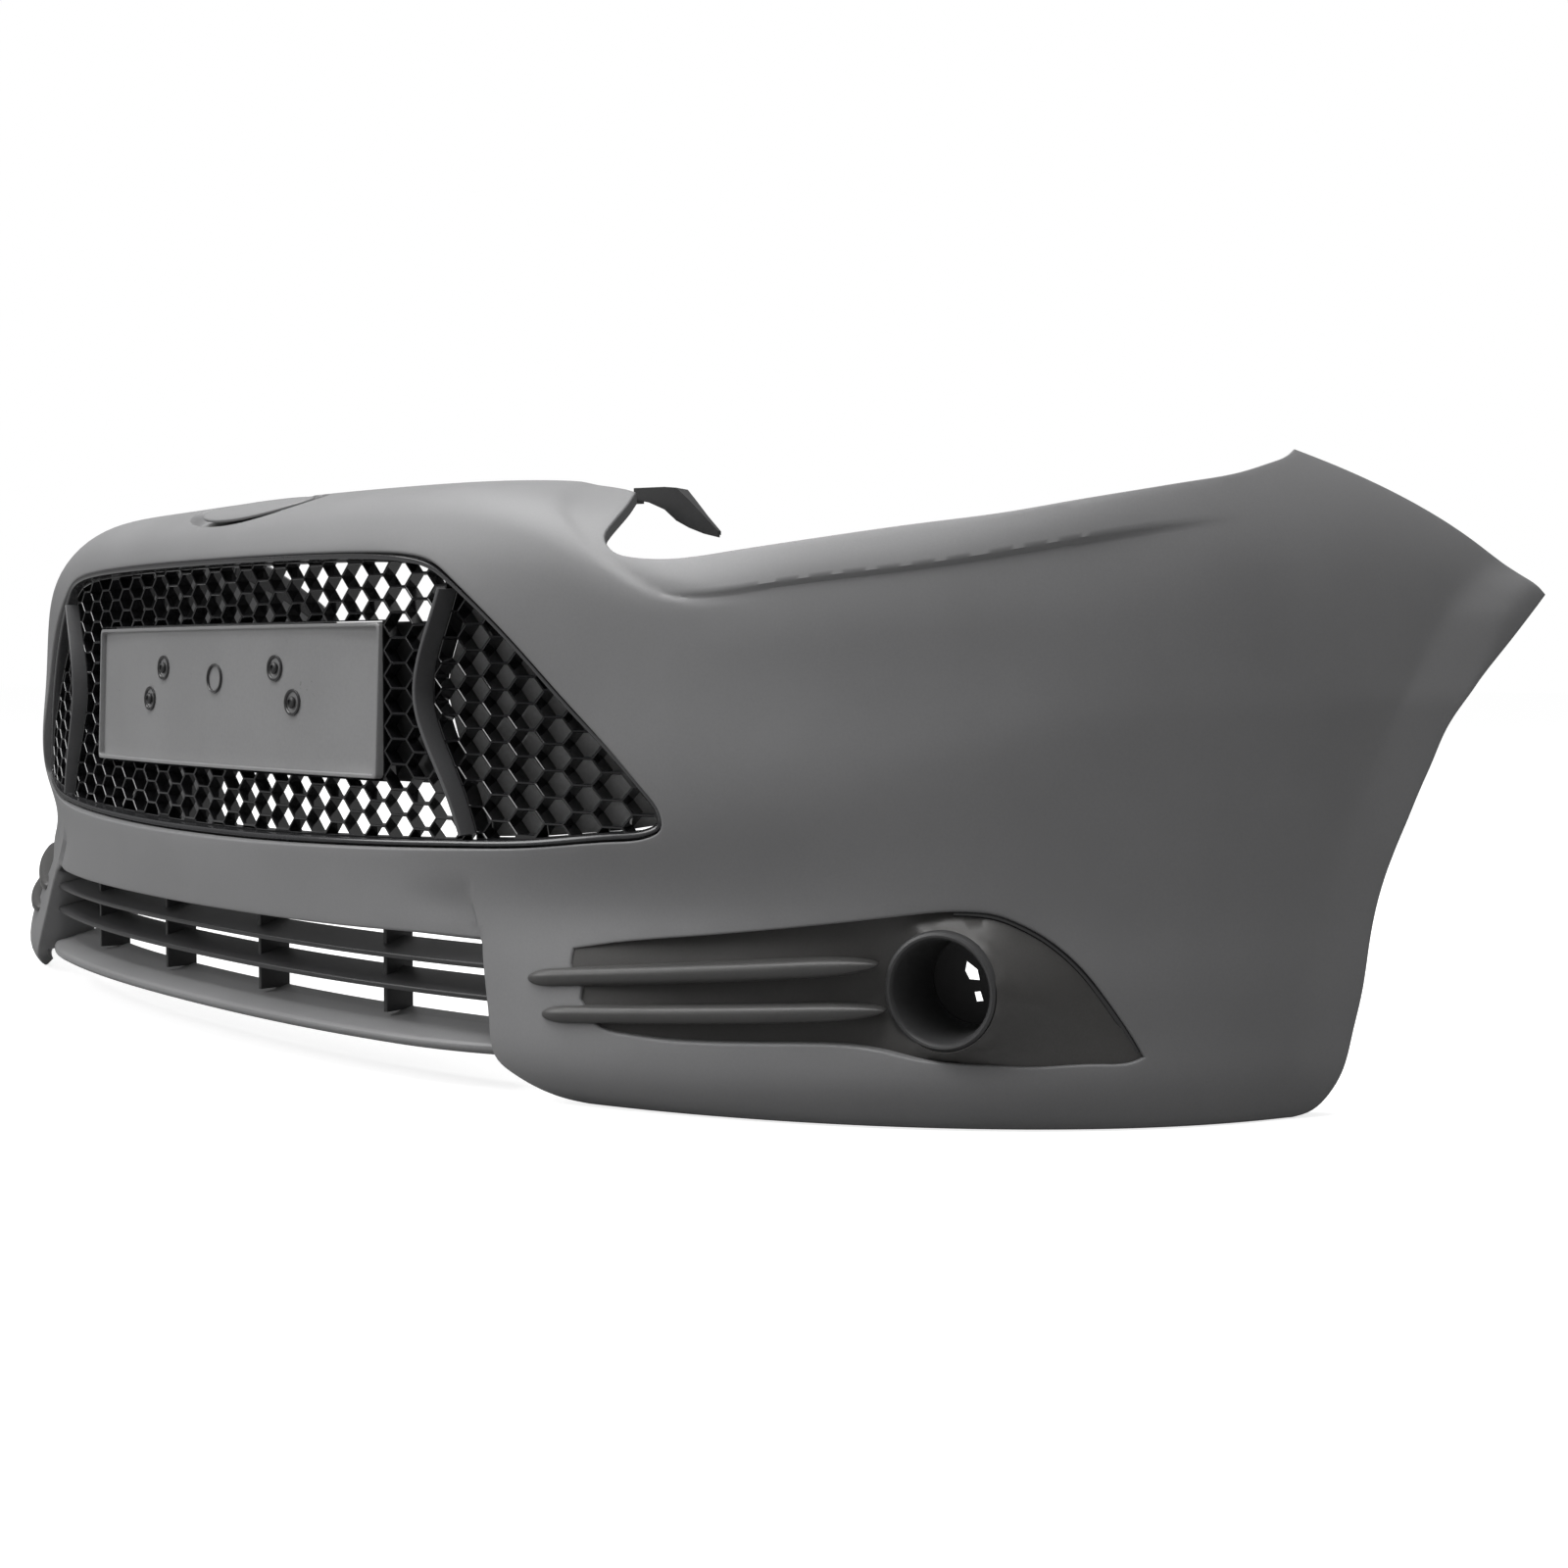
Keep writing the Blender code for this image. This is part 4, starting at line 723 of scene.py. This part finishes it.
def plateY(x, z):
    # a shallow parabola across the car, leaning forward towards the lower edge
    lean = plate['lean'] * (plate['high'] - z) / (plate['high'] - plate['low'])
    return shiftY - plate['crown'] * (1 - (x / plate['half']) ** 2) - lean


def plateAxis(x):
    slope = 2 * plate['crown'] * x / plate['half'] ** 2
    return Vector((slope, -1, plate['lean'] / (plate['high'] - plate['low']))).normalized()


def traySink(x):
    # the tray's floor lies 3 mm behind the border in the middle and 4.8 mm behind it at the ends
    return plate['sunk'] + plate['endSunk'] * smoothStep(.6, 1.0, np.abs(x) / plate['half'])


def roundedBox(half, low, high, radius, parts=7):
    # a rectangle about the middle of the car with quarter-circle corners, and points along its long sides
    quarter = np.linspace(0, math.pi / 2, parts)
    across = np.linspace(-1, 1, 33)[1:-1] * (half - radius)
    corner = [np.stack([sx * (half - radius) + radius * np.cos(quarter + q),
                        cz + radius * np.sin(quarter + q)], -1)
              for sx, cz, q in ((1, high - radius, 0), (-1, high - radius, math.pi / 2),
                                (-1, low + radius, math.pi), (1, low + radius, 1.5 * math.pi))]
    return np.vstack([corner[0], levelLine(across[::-1], high), corner[1], corner[2],
                      levelLine(across, low), corner[3]])


def onPlate(name, profile, x, z, sides, closed):
    # a turned fitting that stands on the tray's floor, square to the panel
    return turned(name, profile, (x, plateY(x, z) + plate['sunk'], z), plateAxis(x), sides, closed)


def buildPlate():
    # nested rounded rectangles step from the rear edge over the raised border down to the sunk face: each
    # is shrunk by an amount, set back by a depth, and takes a share of the tray's own depth
    steps = [(0, .0040, 0), (0, .0009, 0), (.0003, .0003, 0), (.0008, 0, 0), (.0024, 0, 0), (.0029, .0003, .02),
             (.0031, .0008, .2), (.0033, 0, .95), (.0038, 0, 1)]
    rings = []
    for shrinkBy, depth, sink in steps:
        loop = roundedBox(plate['half'] - shrinkBy, plate['low'] + shrinkBy, plate['high'] - shrinkBy,
                          plate['corner'])
        drop = depth + sink * traySink(loop[:, 0])
        rings.append(np.stack([loop[:, 0], plateY(*loop.T) + drop, loop[:, 1]], -1))
    rings = np.stack(rings)
    count, across = rings.shape[:2]
    inner = rings[-1][:, [0, 2]]
    squares = gridInside(inner, [], .012, .005)
    flat, tris, rims = fillRegion(inner, [], squares)
    face = np.stack([flat[:, 0], plateY(*flat.T) + traySink(flat[:, 0]), flat[:, 1]], -1)
    outer = rings[0][:, [0, 2]]
    rear, rearTris, rearRims = fillRegion(outer, [], gridInside(outer, [], .020, .008))
    back = np.stack([rear[:, 0], plateY(*rear.T) + traySink(rear[:, 0]) + .0025, rear[:, 1]], -1)
    verts = np.vstack([rings.reshape(-1, 3), face, back])
    faces = gridFaces(count, across).tolist() + (tris + count * across).tolist()
    backStart = count * across + len(face)
    faces += (rearTris[:, ::-1] + backStart).tolist()
    last = (count - 1) * across
    for ring, rim in ((last, rims[0] + count * across), (0, rearRims[0] + backStart)):
        faces += bridge(ring + np.arange(across), rim).tolist()
    piece = makePiece('numberPlatePanel', verts, faces, 28)
    settle(piece, 'plateSatin', 'number_plate_panel')
    for number, (x, z) in enumerate(plate['bosses'], 1):
        # each boss's dark rim is painted shade in place of a shadowed groove
        boss = onPlate('plateBoss%d' % number, plate['bossProfile'], x, z, 48, True)
        settle(boss, 'ringPaintedShade', 'plate_boss_%d' % number)
        screw = onPlate('plateScrew%d' % number, plate['screwProfile'], x, z, 32, False)
        settle(screw, 'fastenerBlack', 'plate_screw_%d' % number)
    # the centre ring's dark colour is painted shade where a groove round the cap would lie in shadow
    cap = onPlate('plateCentreRing', plate['ringProfile'], *plate['ring'], 56, True)
    settle(cap, 'ringPaintedShade', 'plate_centre_cap')


buildPlate()
print('plate panel and surround made')

# honeycomb: stretched hexagons cut through a sheet, with part cells all along its edges
comb = {'pitch': .0275, 'row': .0204, 'wall': .0022, 'deep': .0128, 'wedge': 1.28, 'bevel': .0005,
        'frame': .0014, 'middle': .2998, 'smallest': 1.4e-5, 'shortest': .0012}
divider = {'line': [(.3575, .1965), (.345, .2260), (.3235, .2650), (.3095, .3060), (.3130, .3300),
                    (.3290, .3700), (.3365, .3885)],
           'half': .0017, 'front': -.0015, 'back': -.036}


def beside(line, amount):
    # the line moved sideways
    along = np.gradient(line, axis=0)
    along /= np.linalg.norm(along, axis=1)[:, None]
    return line + np.stack([along[:, 1], -along[:, 0]], -1) * amount


def cutBy(loop, a, b):
    # the part of a loop to the left of the line from a to b: d is each point's distance from that line
    after = np.roll(loop, -1, axis=0)
    d = (b[0] - a[0]) * (loop[:, 1] - a[1]) - (b[1] - a[1]) * (loop[:, 0] - a[0])
    e = np.roll(d, -1)
    keep, crosses = d > 0, (d > 0) != (e > 0)
    share = np.where(crosses, d / np.where(crosses, d - e, 1), 0)
    both = np.stack([loop, loop + share[:, None] * (after - loop)], 1).reshape(-1, 2)
    return both[np.stack([keep, crosses], 1).ravel()]


def thinned(loop, least):
    # drops points that are closer than least to the one before
    while len(loop) > 3:
        gap = np.linalg.norm(loop - np.roll(loop, 1, axis=0), axis=1)
        if gap.min() > least:
            break
        loop = np.delete(loop, gap.argmin(), axis=0)
    return loop


def combCells(region, block=None):
    # every hexagon of the staggered pitch, cut to the region and to the outside of the block
    tip = comb['pitch'] * 2 / 3 - comb['wall'] * .5
    rise = comb['row'] / 2 - comb['wall'] * .5
    hexagon = np.array([(tip, 0), (tip / 2, rise), (-tip / 2, rise), (-tip, 0), (-tip / 2, -rise),
                        (tip / 2, -rise)])
    low, high = region.min(0), region.max(0)
    cells = []
    for column in range(math.floor(low[0] / comb['pitch']), math.ceil(high[0] / comb['pitch']) + 1):
        up = comb['middle'] + comb['row'] * .5 * (column % 2)
        for row in range(math.floor((low[1] - up) / comb['row']), math.ceil((high[1] - up) / comb['row']) + 1):
            centre = np.array([column * comb['pitch'], up + row * comb['row']])
            cell = hexagon + centre
            within = insideLoop(cell, region)
            if not within.all():
                part = region
                for a, b in zip(cell, np.roll(cell, -1, axis=0)):
                    part = cutBy(part, a, b)
                    if len(part) < 3:
                        break
                cell = part
            if len(cell) > 2 and block is not None:
                (x0, z0), (x1, z1) = block
                if (np.abs(cell[:, 0]) < x1).any() and ((cell[:, 1] > z0) & (cell[:, 1] < z1)).any():
                    sides = [((-1, z1), (1, z1)), ((1, z0), (-1, z0)), ((x1, 1), (x1, -1)), ((x0, -1), (x0, 1))]
                    parts = [cutBy(cell, np.array(a), np.array(b)) for a, b in sides]
                    cell = max(parts, key=lambda p: abs(areaOf(p)) if len(p) > 2 else 0)
            if len(cell) < 3:
                continue
            cell = thinned(cell, comb['shortest'])
            if len(cell) > 2 and abs(areaOf(cell)) > comb['smallest']:
                cells.append(cell)
    return cells


def combPiece(name, outer, holes, place):
    # front face, a narrow bevel, walls and back face; place(loop, depth) puts a loop behind the front by depth
    bevel = comb['bevel']
    loops = [outer] + holes
    widened = [inset(l, bevel if k == 0 else -bevel) for k, l in enumerate(loops)]
    verts, faces, start = [], [], 0
    fronts = fillRegion(widened[0], widened[1:], np.zeros((0, 2)))
    backs = fillRegion(loops[0], loops[1:], np.zeros((0, 2)))
    for (flat, tris, rims), depth, turnBack in ((fronts, 0, False), (backs, comb['deep'], True)):
        verts.append(place(flat, depth))
        faces += ((tris[:, ::-1] if turnBack else tris) + start).tolist()
        start += len(flat)
    backStart = len(fronts[0])
    for k, loop in enumerate(loops):
        verts.append(place(loop, bevel))
        middle = start + np.arange(len(loop))
        ladder = [fronts[2][k], middle, backs[2][k] + backStart]
        for a, b in zip(ladder, ladder[1:]):
            faces += bridge(a, b).tolist()
        start += len(loop)
    return makePiece(name, np.vstack(verts), faces, 20)


def sideOf(loop, line, keepRight):
    # the part of a loop to one side of an upright line, with the line's points put in along the cut
    side = loop[:, 0] - np.interp(loop[:, 1], line[:, 1], line[:, 0])
    keep = (side > 0) if keepRight else (side < 0)
    first = int(np.where(keep & ~np.roll(keep, 1))[0][0])
    kept = np.roll(loop, -first, axis=0)[:keep.sum()]
    low, high = sorted((kept[0, 1], kept[-1, 1]))
    inner = line[(line[:, 1] > low + .002) & (line[:, 1] < high - .002)]
    return np.vstack([kept, inner if kept[-1, 1] < kept[0, 1] else inner[::-1]])


def combOff(s):
    # the centre sheet follows the plate panel's crown, a little behind it
    x, y, _ = wallPoint(s, 0).T
    target = shiftY - plate['crown'] * (1 - (x / plate['half']) ** 2) + .0025
    return (y - target) / np.interp(s, planS, planT[:, 0])


def wedgeOff(s):
    return -.021 + .014 * np.clip((np.abs(s) - .33) / .18, 0, 1)


def buildHoneycomb():
    opening = insideOpening(.0058)
    line = curveThrough(divider['line'], .006)
    clear = divider['half'] + .0005
    leftLine, rightLine = sorted((beside(line, clear), beside(line, -clear)), key=lambda l: l[:, 0].mean())
    long = np.array([[0, -.1], [0, .1]])
    leftLine, rightLine = (np.vstack([l[:1] + long[:1], l, l[-1:] + long[1:]]) for l in (leftLine, rightLine))
    centre = sideOf(sideOf(opening, leftLine, False), leftLine * [-1, 1], True)
    s = np.interp(plate['half'] + .0030, planLine[:, 0], planS)
    low, high = plate['low'] - .0016, plate['high'] + .0016
    across = np.linspace(-s, s, 41)
    block = np.vstack([levelLine(across, low), levelLine(across[::-1], high)])
    room = inset(centre, comb['frame'])
    edge = comb['frame'] * .5
    holes = [block] + combCells(room, ((-s - edge, low - edge), (s + edge, high + edge)))

    def placeCentre(loop, depth):
        return wallPoint(loop[:, 0], loop[:, 1], combOff(loop[:, 0]) - depth)

    def placeWedge(loop, depth):
        return wallPoint(loop[:, 0], loop[:, 1], wedgeOff(loop[:, 0]) - depth * comb['wedge'])

    piece = combPiece('honeycombCentre', centre, holes, placeCentre)
    settle(piece, 'glossBlack', 'honeycomb_centre')
    wedge = sideOf(opening, rightLine, True)
    cells = combCells(inset(wedge, comb['frame']))
    for side, sign in (('Right', 1), ('Left', -1)):
        piece = combPiece('honeycomb' + side, wedge * [sign, 1], [c * [sign, 1] for c in cells], placeWedge)
        settle(piece, 'glossBlack', 'honeycomb_' + side.lower())
        # divider: a thin blade with a rounded front edge, from the lower rim to the upper
        half, front, back = divider['half'], divider['front'], divider['back']
        profile = roundedProfile([(-half, front), (half, front), (half * .8, back), (-half * .8, back)],
                                 [half * .8, half * .8, .0004, .0004])
        along = np.stack([beside(line, p) for p in profile[:, 0]], 1)
        bar = sweep('grilleDivider' + side, wallPoint(along[..., 0] * sign, along[..., 1], profile[None, :, 1]))
        settle(bar, 'dividerSatin', 'grille_divider_' + side.lower())
    return len(holes) - 1 + 2 * len(cells)


print('honeycomb cells:', buildHoneycomb())

# lower intake: two slats, four posts and the chin lip
intake = {'slats': {'lower_slat_upper': (.0965, .3860), 'lower_slat_lower': (.0715, .3915)},
          'front': .0, 'back': -.034, 'thick': .0052, 'rise': .009,
          'posts': (-.262, -.0865, .0865, .262), 'postHalf': .0024,
          'lipEnd': .401, 'lipFront': .014, 'lipTuck': .010}


def buildIntake():
    half, front, back, rise = intake['thick'] / 2, intake['front'], intake['back'], intake['rise']
    for node, (z, end) in intake['slats'].items():
        s = np.linspace(-end, end, 121)
        profile = roundedProfile([(front, -half * .9), (front + .0005, half * .8), (back, half + rise),
                                  (back, rise - half)], [.0016, .0016, .0008, .0008])
        grid = wallPoint(s[:, None], z + profile[None, :, 1], profile[None, :, 0])
        piece = sweep('slat' + node.split('_')[-1].capitalize(), grid)
        settle(piece, 'trimSatin', node)
    for number, at in enumerate(intake['posts'], 1):
        half = intake['postHalf']
        profile = roundedProfile([(-half, -.0135), (half, -.0135), (half * .8, -.0425), (-half * .8, -.0425)],
                                 [.0015, .0015, .0005, .0005])
        z = np.linspace(.0470, .1180, 15)
        grid = wallPoint(at + profile[None, :, 0], z[:, None], profile[None, :, 1])
        settle(sweep('post%d' % number, grid), 'trimSatin', 'lower_post_%d' % number)
    s = np.linspace(-intake['lipEnd'], intake['lipEnd'], 161)
    # the lip tucks in towards its ends as the square of the way along the last 100 mm
    front = intake['lipFront'] - intake['lipTuck'] * np.clip((np.abs(s) - .30) / .10, 0, 1) ** 2
    profile = roundedProfile([(-.012, .0275), (-.003, .0288), (0, .0330), (-.003, .0372), (-.020, .0415),
                              (-.030, .0460), (-.041, .0490), (-.041, .0275)],
                             [.003, .003, .003, .0025, .004, .002, .001, .001])
    off = np.where(profile[None, :, 0] > -.025, front[:, None] + profile[None, :, 0], profile[None, :, 0])
    piece = sweep('chinLip', wallPoint(s[:, None], profile[None, :, 1], off))
    settle(piece, 'lipGrey', 'chin_lip')


buildIntake()
print('lower intake made')

# fog corner: trim panel with its pod, two blades, tube and reveal
fog = {'s': .750, 'z': .0995, 'radius': .0436, 'narrow': .922, 'bore': .0355, 'deep': .062,
       'turn': math.radians(18), 'stand': .0045, 'panel': -.0105, 'rim': -.0035, 'wall': .0028,
       # each blade's two ends, and half its height
       'blades': {'upper': (.4290, .0920, .7050, .1160, .0070), 'lower': (.4460, .0670, .7110, .0840, .0066)}}


def fogHeight(s, z, outline):
    # offset from the skin: q is 0 at the tube's lip and 1 at the recess edge, and the surface falls from the
    # lip's own plane to the edge as (1 - q)^1.6
    dS, dZ = s - fog['s'], z - fog['z']
    d = np.maximum(np.hypot(dS, dZ), 1e-6)
    past = np.maximum(d - fog['radius'], 0)
    q = past / np.maximum(past + edgeDistance(np.stack([s, z], -1), outline), 1e-6)
    lipS = fog['s'] + dS / d * fog['radius'] * fog['narrow']
    lip = fog['stand'] + (lipS - fog['s']) * .42 - .0055 * smoothStep(fog['s'] + .005, fog['s'] - .035, lipS)
    edge = fog['panel'] * smoothStep(.440, .590, s) - .0010
    edge = edge + (fog['rim'] - edge) * smoothStep(.700, .800, s)
    fall = (1 - q) ** 1.6
    return lip * fall + edge * (1 - fall)


def buildFog(side, sign):
    node = side.lower()
    outline = fogOutline(.0045)
    under = smoothStep(.750, .775, outline[:, 0]) * smoothStep(.060, .080, outline[:, 1])
    trim = inset(outline, -.0015) * (1 - under[:, None]) + inset(outline, .0040) * under[:, None]
    angle = fullTurn(72)
    radius = fog['radius'] - .0012
    # the tube leans across the panel, so its hole is narrower along s and shifted a little
    across = radius * fog['narrow'] * np.cos(angle) + .0015 * (1 - np.cos(angle))
    hole = np.stack([fog['s'] + across, fog['z'] + radius * np.sin(angle)], -1)
    squares = gridInside(trim, [hole], .0055, .0032)
    flat, tris, rims = fillRegion(trim, [hole], squares)
    s, z = flat.T
    lift = offAt(s, z) + fogHeight(s, z, outline)
    front = wallPoint(s * sign, z, lift)
    back = wallPoint(s * sign, z, lift - fog['wall'])
    count = len(flat)
    faces = tris.tolist() + (tris[:, ::-1] + count).tolist()
    verts = [front, back]
    for rim in rims:
        faces += bridge(rim, rim + count).tolist()
    piece = makePiece('fogTrim' + side, np.vstack(verts), faces, 50)
    settle(piece, 'podSatin', 'fog_trim_' + node)

    centre = wallPoint(sign * fog['s'], fog['z'], offAt(fog['s'], fog['z'])[0] + fog['stand'])
    axis = (sign * math.sin(fog['turn']), -math.cos(fog['turn']), 0)
    r, b, deep = fog['radius'], fog['bore'], fog['deep']
    tube = turned('fogTube' + side,
                  [(b + .0012, -.004), (b + .0020, -.0012), (b + .0034, .0006), (r - .0032, .0010),
                   (r - .0012, .0000), (r, -.0026), (r - .0004, -.012), (r - .001, -deep), (b - .0035, -deep),
                   (b - .0035, -deep + .003), (b - .0022, -deep + .006), (b - .0012, -.030)],
                  centre, axis, 72, closed=True)
    settle(tube, 'tubeSatin', 'fog_tube_' + node)
    for label, (s0, z0, s1, z1, tall) in fog['blades'].items():
        # a spindle: with t from 0 to 1 along it, the height and stand grow as (1 - (1 - 11 t)^2.2)^0.5 over
        # the first eleventh and shrink as (1 - ((t - 0.8) / 0.2)^2)^0.6 over the last fifth
        t = (1 - np.cos(np.linspace(0, math.pi, 73))) / 2
        swell = np.maximum(1 - np.maximum(1 - t * 11, 0) ** 2.2, 0) ** .5
        swell = swell * np.maximum(1 - np.maximum((t - .80) / .20, 0) ** 2, 0) ** .6
        swell = np.maximum(swell, .03)
        bow = np.linspace(-math.pi / 2, math.pi / 2, 17)
        s = (s0 + (s1 - s0) * t)[:, None]
        z = (z0 + (z1 - z0) * t)[:, None] + tall * swell[:, None] * np.sin(bow)[None]
        under = offAt(s[:, 0], z0 + (z1 - z0) * t)[:, None]
        stand = .0085 * swell[:, None] * np.cos(bow)[None] ** .75 - .0020
        into = fog['panel'] * smoothStep(.440, .590, s) - .0016
        grid = wallPoint(sign * s, z, under + np.maximum(stand, into))
        rear = wallPoint(sign * s, z[:, [16, 0]], under + into - .002)
        blade = sweep('fogBlade' + label.capitalize() + side, np.concatenate([grid, rear], 1), sharp=60)
        settle(blade, 'bladeSatin', 'fog_blade_%s_%s' % (label, node))
    pick = (outline[:, 0] > .757) & (outline[:, 1] > .056)
    edge, inner = inset(outline, -.0012)[pick], inset(outline, .0056)[pick]
    base = offAt(outline[pick, 0], outline[pick, 1])
    # the reveal: a band of (share of the way inward, offset) along the recess's rear edge
    profile = np.array([(0, -.0036), (.30, -.0030), (.55, -.0031), (.85, -.0040), (1, -.0052), (1, -.0090),
                        (0, -.0090)])
    path = edge[:, None] * (1 - profile[None, :, 0, None]) + inner[:, None] * profile[None, :, 0, None]
    grid = wallPoint(path[..., 0] * sign, path[..., 1], base[:, None] + profile[None, :, 1])
    reveal = sweep('fogReveal' + side, grid, sharp=60)
    settle(reveal, 'glossBlack', 'fog_reveal_' + node)


for side, sign in (('Right', 1), ('Left', -1)):
    buildFog(side, sign)
print('fog corners made')


# badge pad in the nose's recess
def buildBadge():
    # rings of an ellipse from the rim to the middle, crowned, and level with the skin round the recess
    angle = fullTurn(96)
    share = np.array([1.0, 1.0, .992, .975, .95, .9, .8, .65, .5, .35, .2, .08])
    lift = np.array([-.0026, -.0012, -.0006, -.0002, 0, .0003, .0006, .0008, .0009, .0010, .0010, .0010])
    s = badge['padHalf'] * share[:, None] * np.cos(angle)[None]
    w = badge['w'] + badge['padRise'] * share[:, None] * np.sin(angle)[None]
    grid = bareSkin(s, w) + surfaceNormal(bareSkin, s, w) * lift[:, None, None]
    piece = sweep('badgePad', grid, sharp=50)
    settle(piece, 'primer', 'badge_pad')


buildBadge()

# carried-over pieces get their finishes
sides = ('left', 'right')
brackets = ['fog_seat_', 'headlamp_bracket_', 'wing_retainer_']
carried = {
    'backingGrey': ['wedge_backing_' + side for side in sides],
    'bracketBlack': ['plate_carrier', 'top_mount_rail'] + [part + side for part in brackets for side in sides],
    'fastenerBlack': ['rivet_%s_%d' % (part, number) for part in ('body', 'pin') for number in (1, 2, 3, 4)],
}
for finish, nodes in carried.items():
    for node in nodes:
        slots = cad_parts[node].data.materials
        slots.clear()
        slots.append(materials[finish])


# floor, lights and camera
studio = {'key': 75, 'top': 130, 'skyTop': .35, 'skyLow': .10, 'floorHalf': 30, 'floorUnder': -.0005}


def areaLight(name, place, target, size, power):
    lamp = bpy.data.lights.new(name, 'AREA')
    lamp.shape = 'RECTANGLE'
    lamp.size, lamp.size_y = size
    lamp.energy = power
    made = bpy.data.objects.new(name, lamp)
    made.location = place
    made.rotation_euler = (Vector(target) - Vector(place)).to_track_quat('-Z', 'Y').to_euler()
    bpy.context.scene.collection.objects.link(made)


def buildStage():
    mesh = bpy.data.meshes.new('floor')
    far, under = studio['floorHalf'], studio['floorUnder']
    mesh.from_pydata([(-far, -far, under), (far, -far, under), (far, far, under), (-far, far, under)],
                     [], [(0, 1, 2, 3)])
    floor = bpy.data.objects.new('floor', mesh)
    bpy.context.scene.collection.objects.link(floor)
    # the camera sees a pale floor with a faint contact shadow; light bounces off a dimmer one
    paint = bpy.data.materials.new('floorWhite')
    paint.use_nodes = True
    shader = paint.node_tree.nodes['Principled BSDF']
    wire = Wire(paint.node_tree)
    seen = wire.node('LightPath', {}, {}, 0)
    paint.node_tree.links.new((seen * .30 + .30).tint((0, 0, 0), (1, 1, 1)).socket, shader.inputs['Base Color'])
    shader.inputs['Roughness'].default_value = .9
    shader.inputs['Specular IOR Level'].default_value = 0
    shader.inputs['Emission Color'].default_value = (1, 1, 1, 1)
    paint.node_tree.links.new((seen * .75 + .02).socket, shader.inputs['Emission Strength'])
    mesh.materials.append(paint)
    # the sky is white to the camera, and for lighting it fades from a bright top to a dim horizon
    sky = bpy.data.worlds.new('studio')
    sky.use_nodes = True
    bpy.context.scene.world = sky
    wire = Wire(sky.node_tree)
    back = sky.node_tree.nodes['Background']
    seen = wire.node('LightPath', {}, {}, 0)
    up = wire.node('SeparateXYZ', {}, {0: wire.node('TexCoord', {}, {}, 0)}, 2).between(-.05, .9)
    lit = up * studio['skyTop'] + studio['skyLow']
    sky.node_tree.links.new((seen * (1 - lit) + lit).socket, back.inputs['Strength'])
    back.inputs['Color'].default_value = (1, 1, 1, 1)


buildStage()
areaLight('keyFront', (-1.8, -3.2, 2.4), (0, -.2, .25), (2.4, 1.6), studio['key'])
areaLight('topSoft', (.0, -.5, 3.0), (0, 0, .3), (3.4, 2.4), studio['top'])

lens = {'focal': 45.52, 'place': (1.635, -1.1916, .3265), 'azimuth': 46.0, 'pitch': 3.305, 'roll': .24}
turn, dip, roll = (math.radians(lens[k]) for k in ('azimuth', 'pitch', 'roll'))
ahead = Vector((-math.sin(turn) * math.cos(dip), math.cos(turn) * math.cos(dip), -math.sin(dip)))
right = Vector((math.cos(turn), math.sin(turn), 0))
above = right.cross(ahead)
right, above = right * math.cos(roll) + above * math.sin(roll), above * math.cos(roll) - right * math.sin(roll)
camera = bpy.data.objects.new('camera', bpy.data.cameras.new('camera'))
camera.data.sensor_width = 36
camera.data.lens = lens['focal']
camera.data.clip_start = .05
camera.data.clip_end = 100
camera.rotation_mode = 'QUATERNION'
camera.location = lens['place']
camera.rotation_quaternion = Matrix((right, above, -ahead)).transposed().to_quaternion()
bpy.context.scene.collection.objects.link(camera)
bpy.context.scene.camera = camera
bpy.context.scene.view_settings.view_transform = 'Standard'
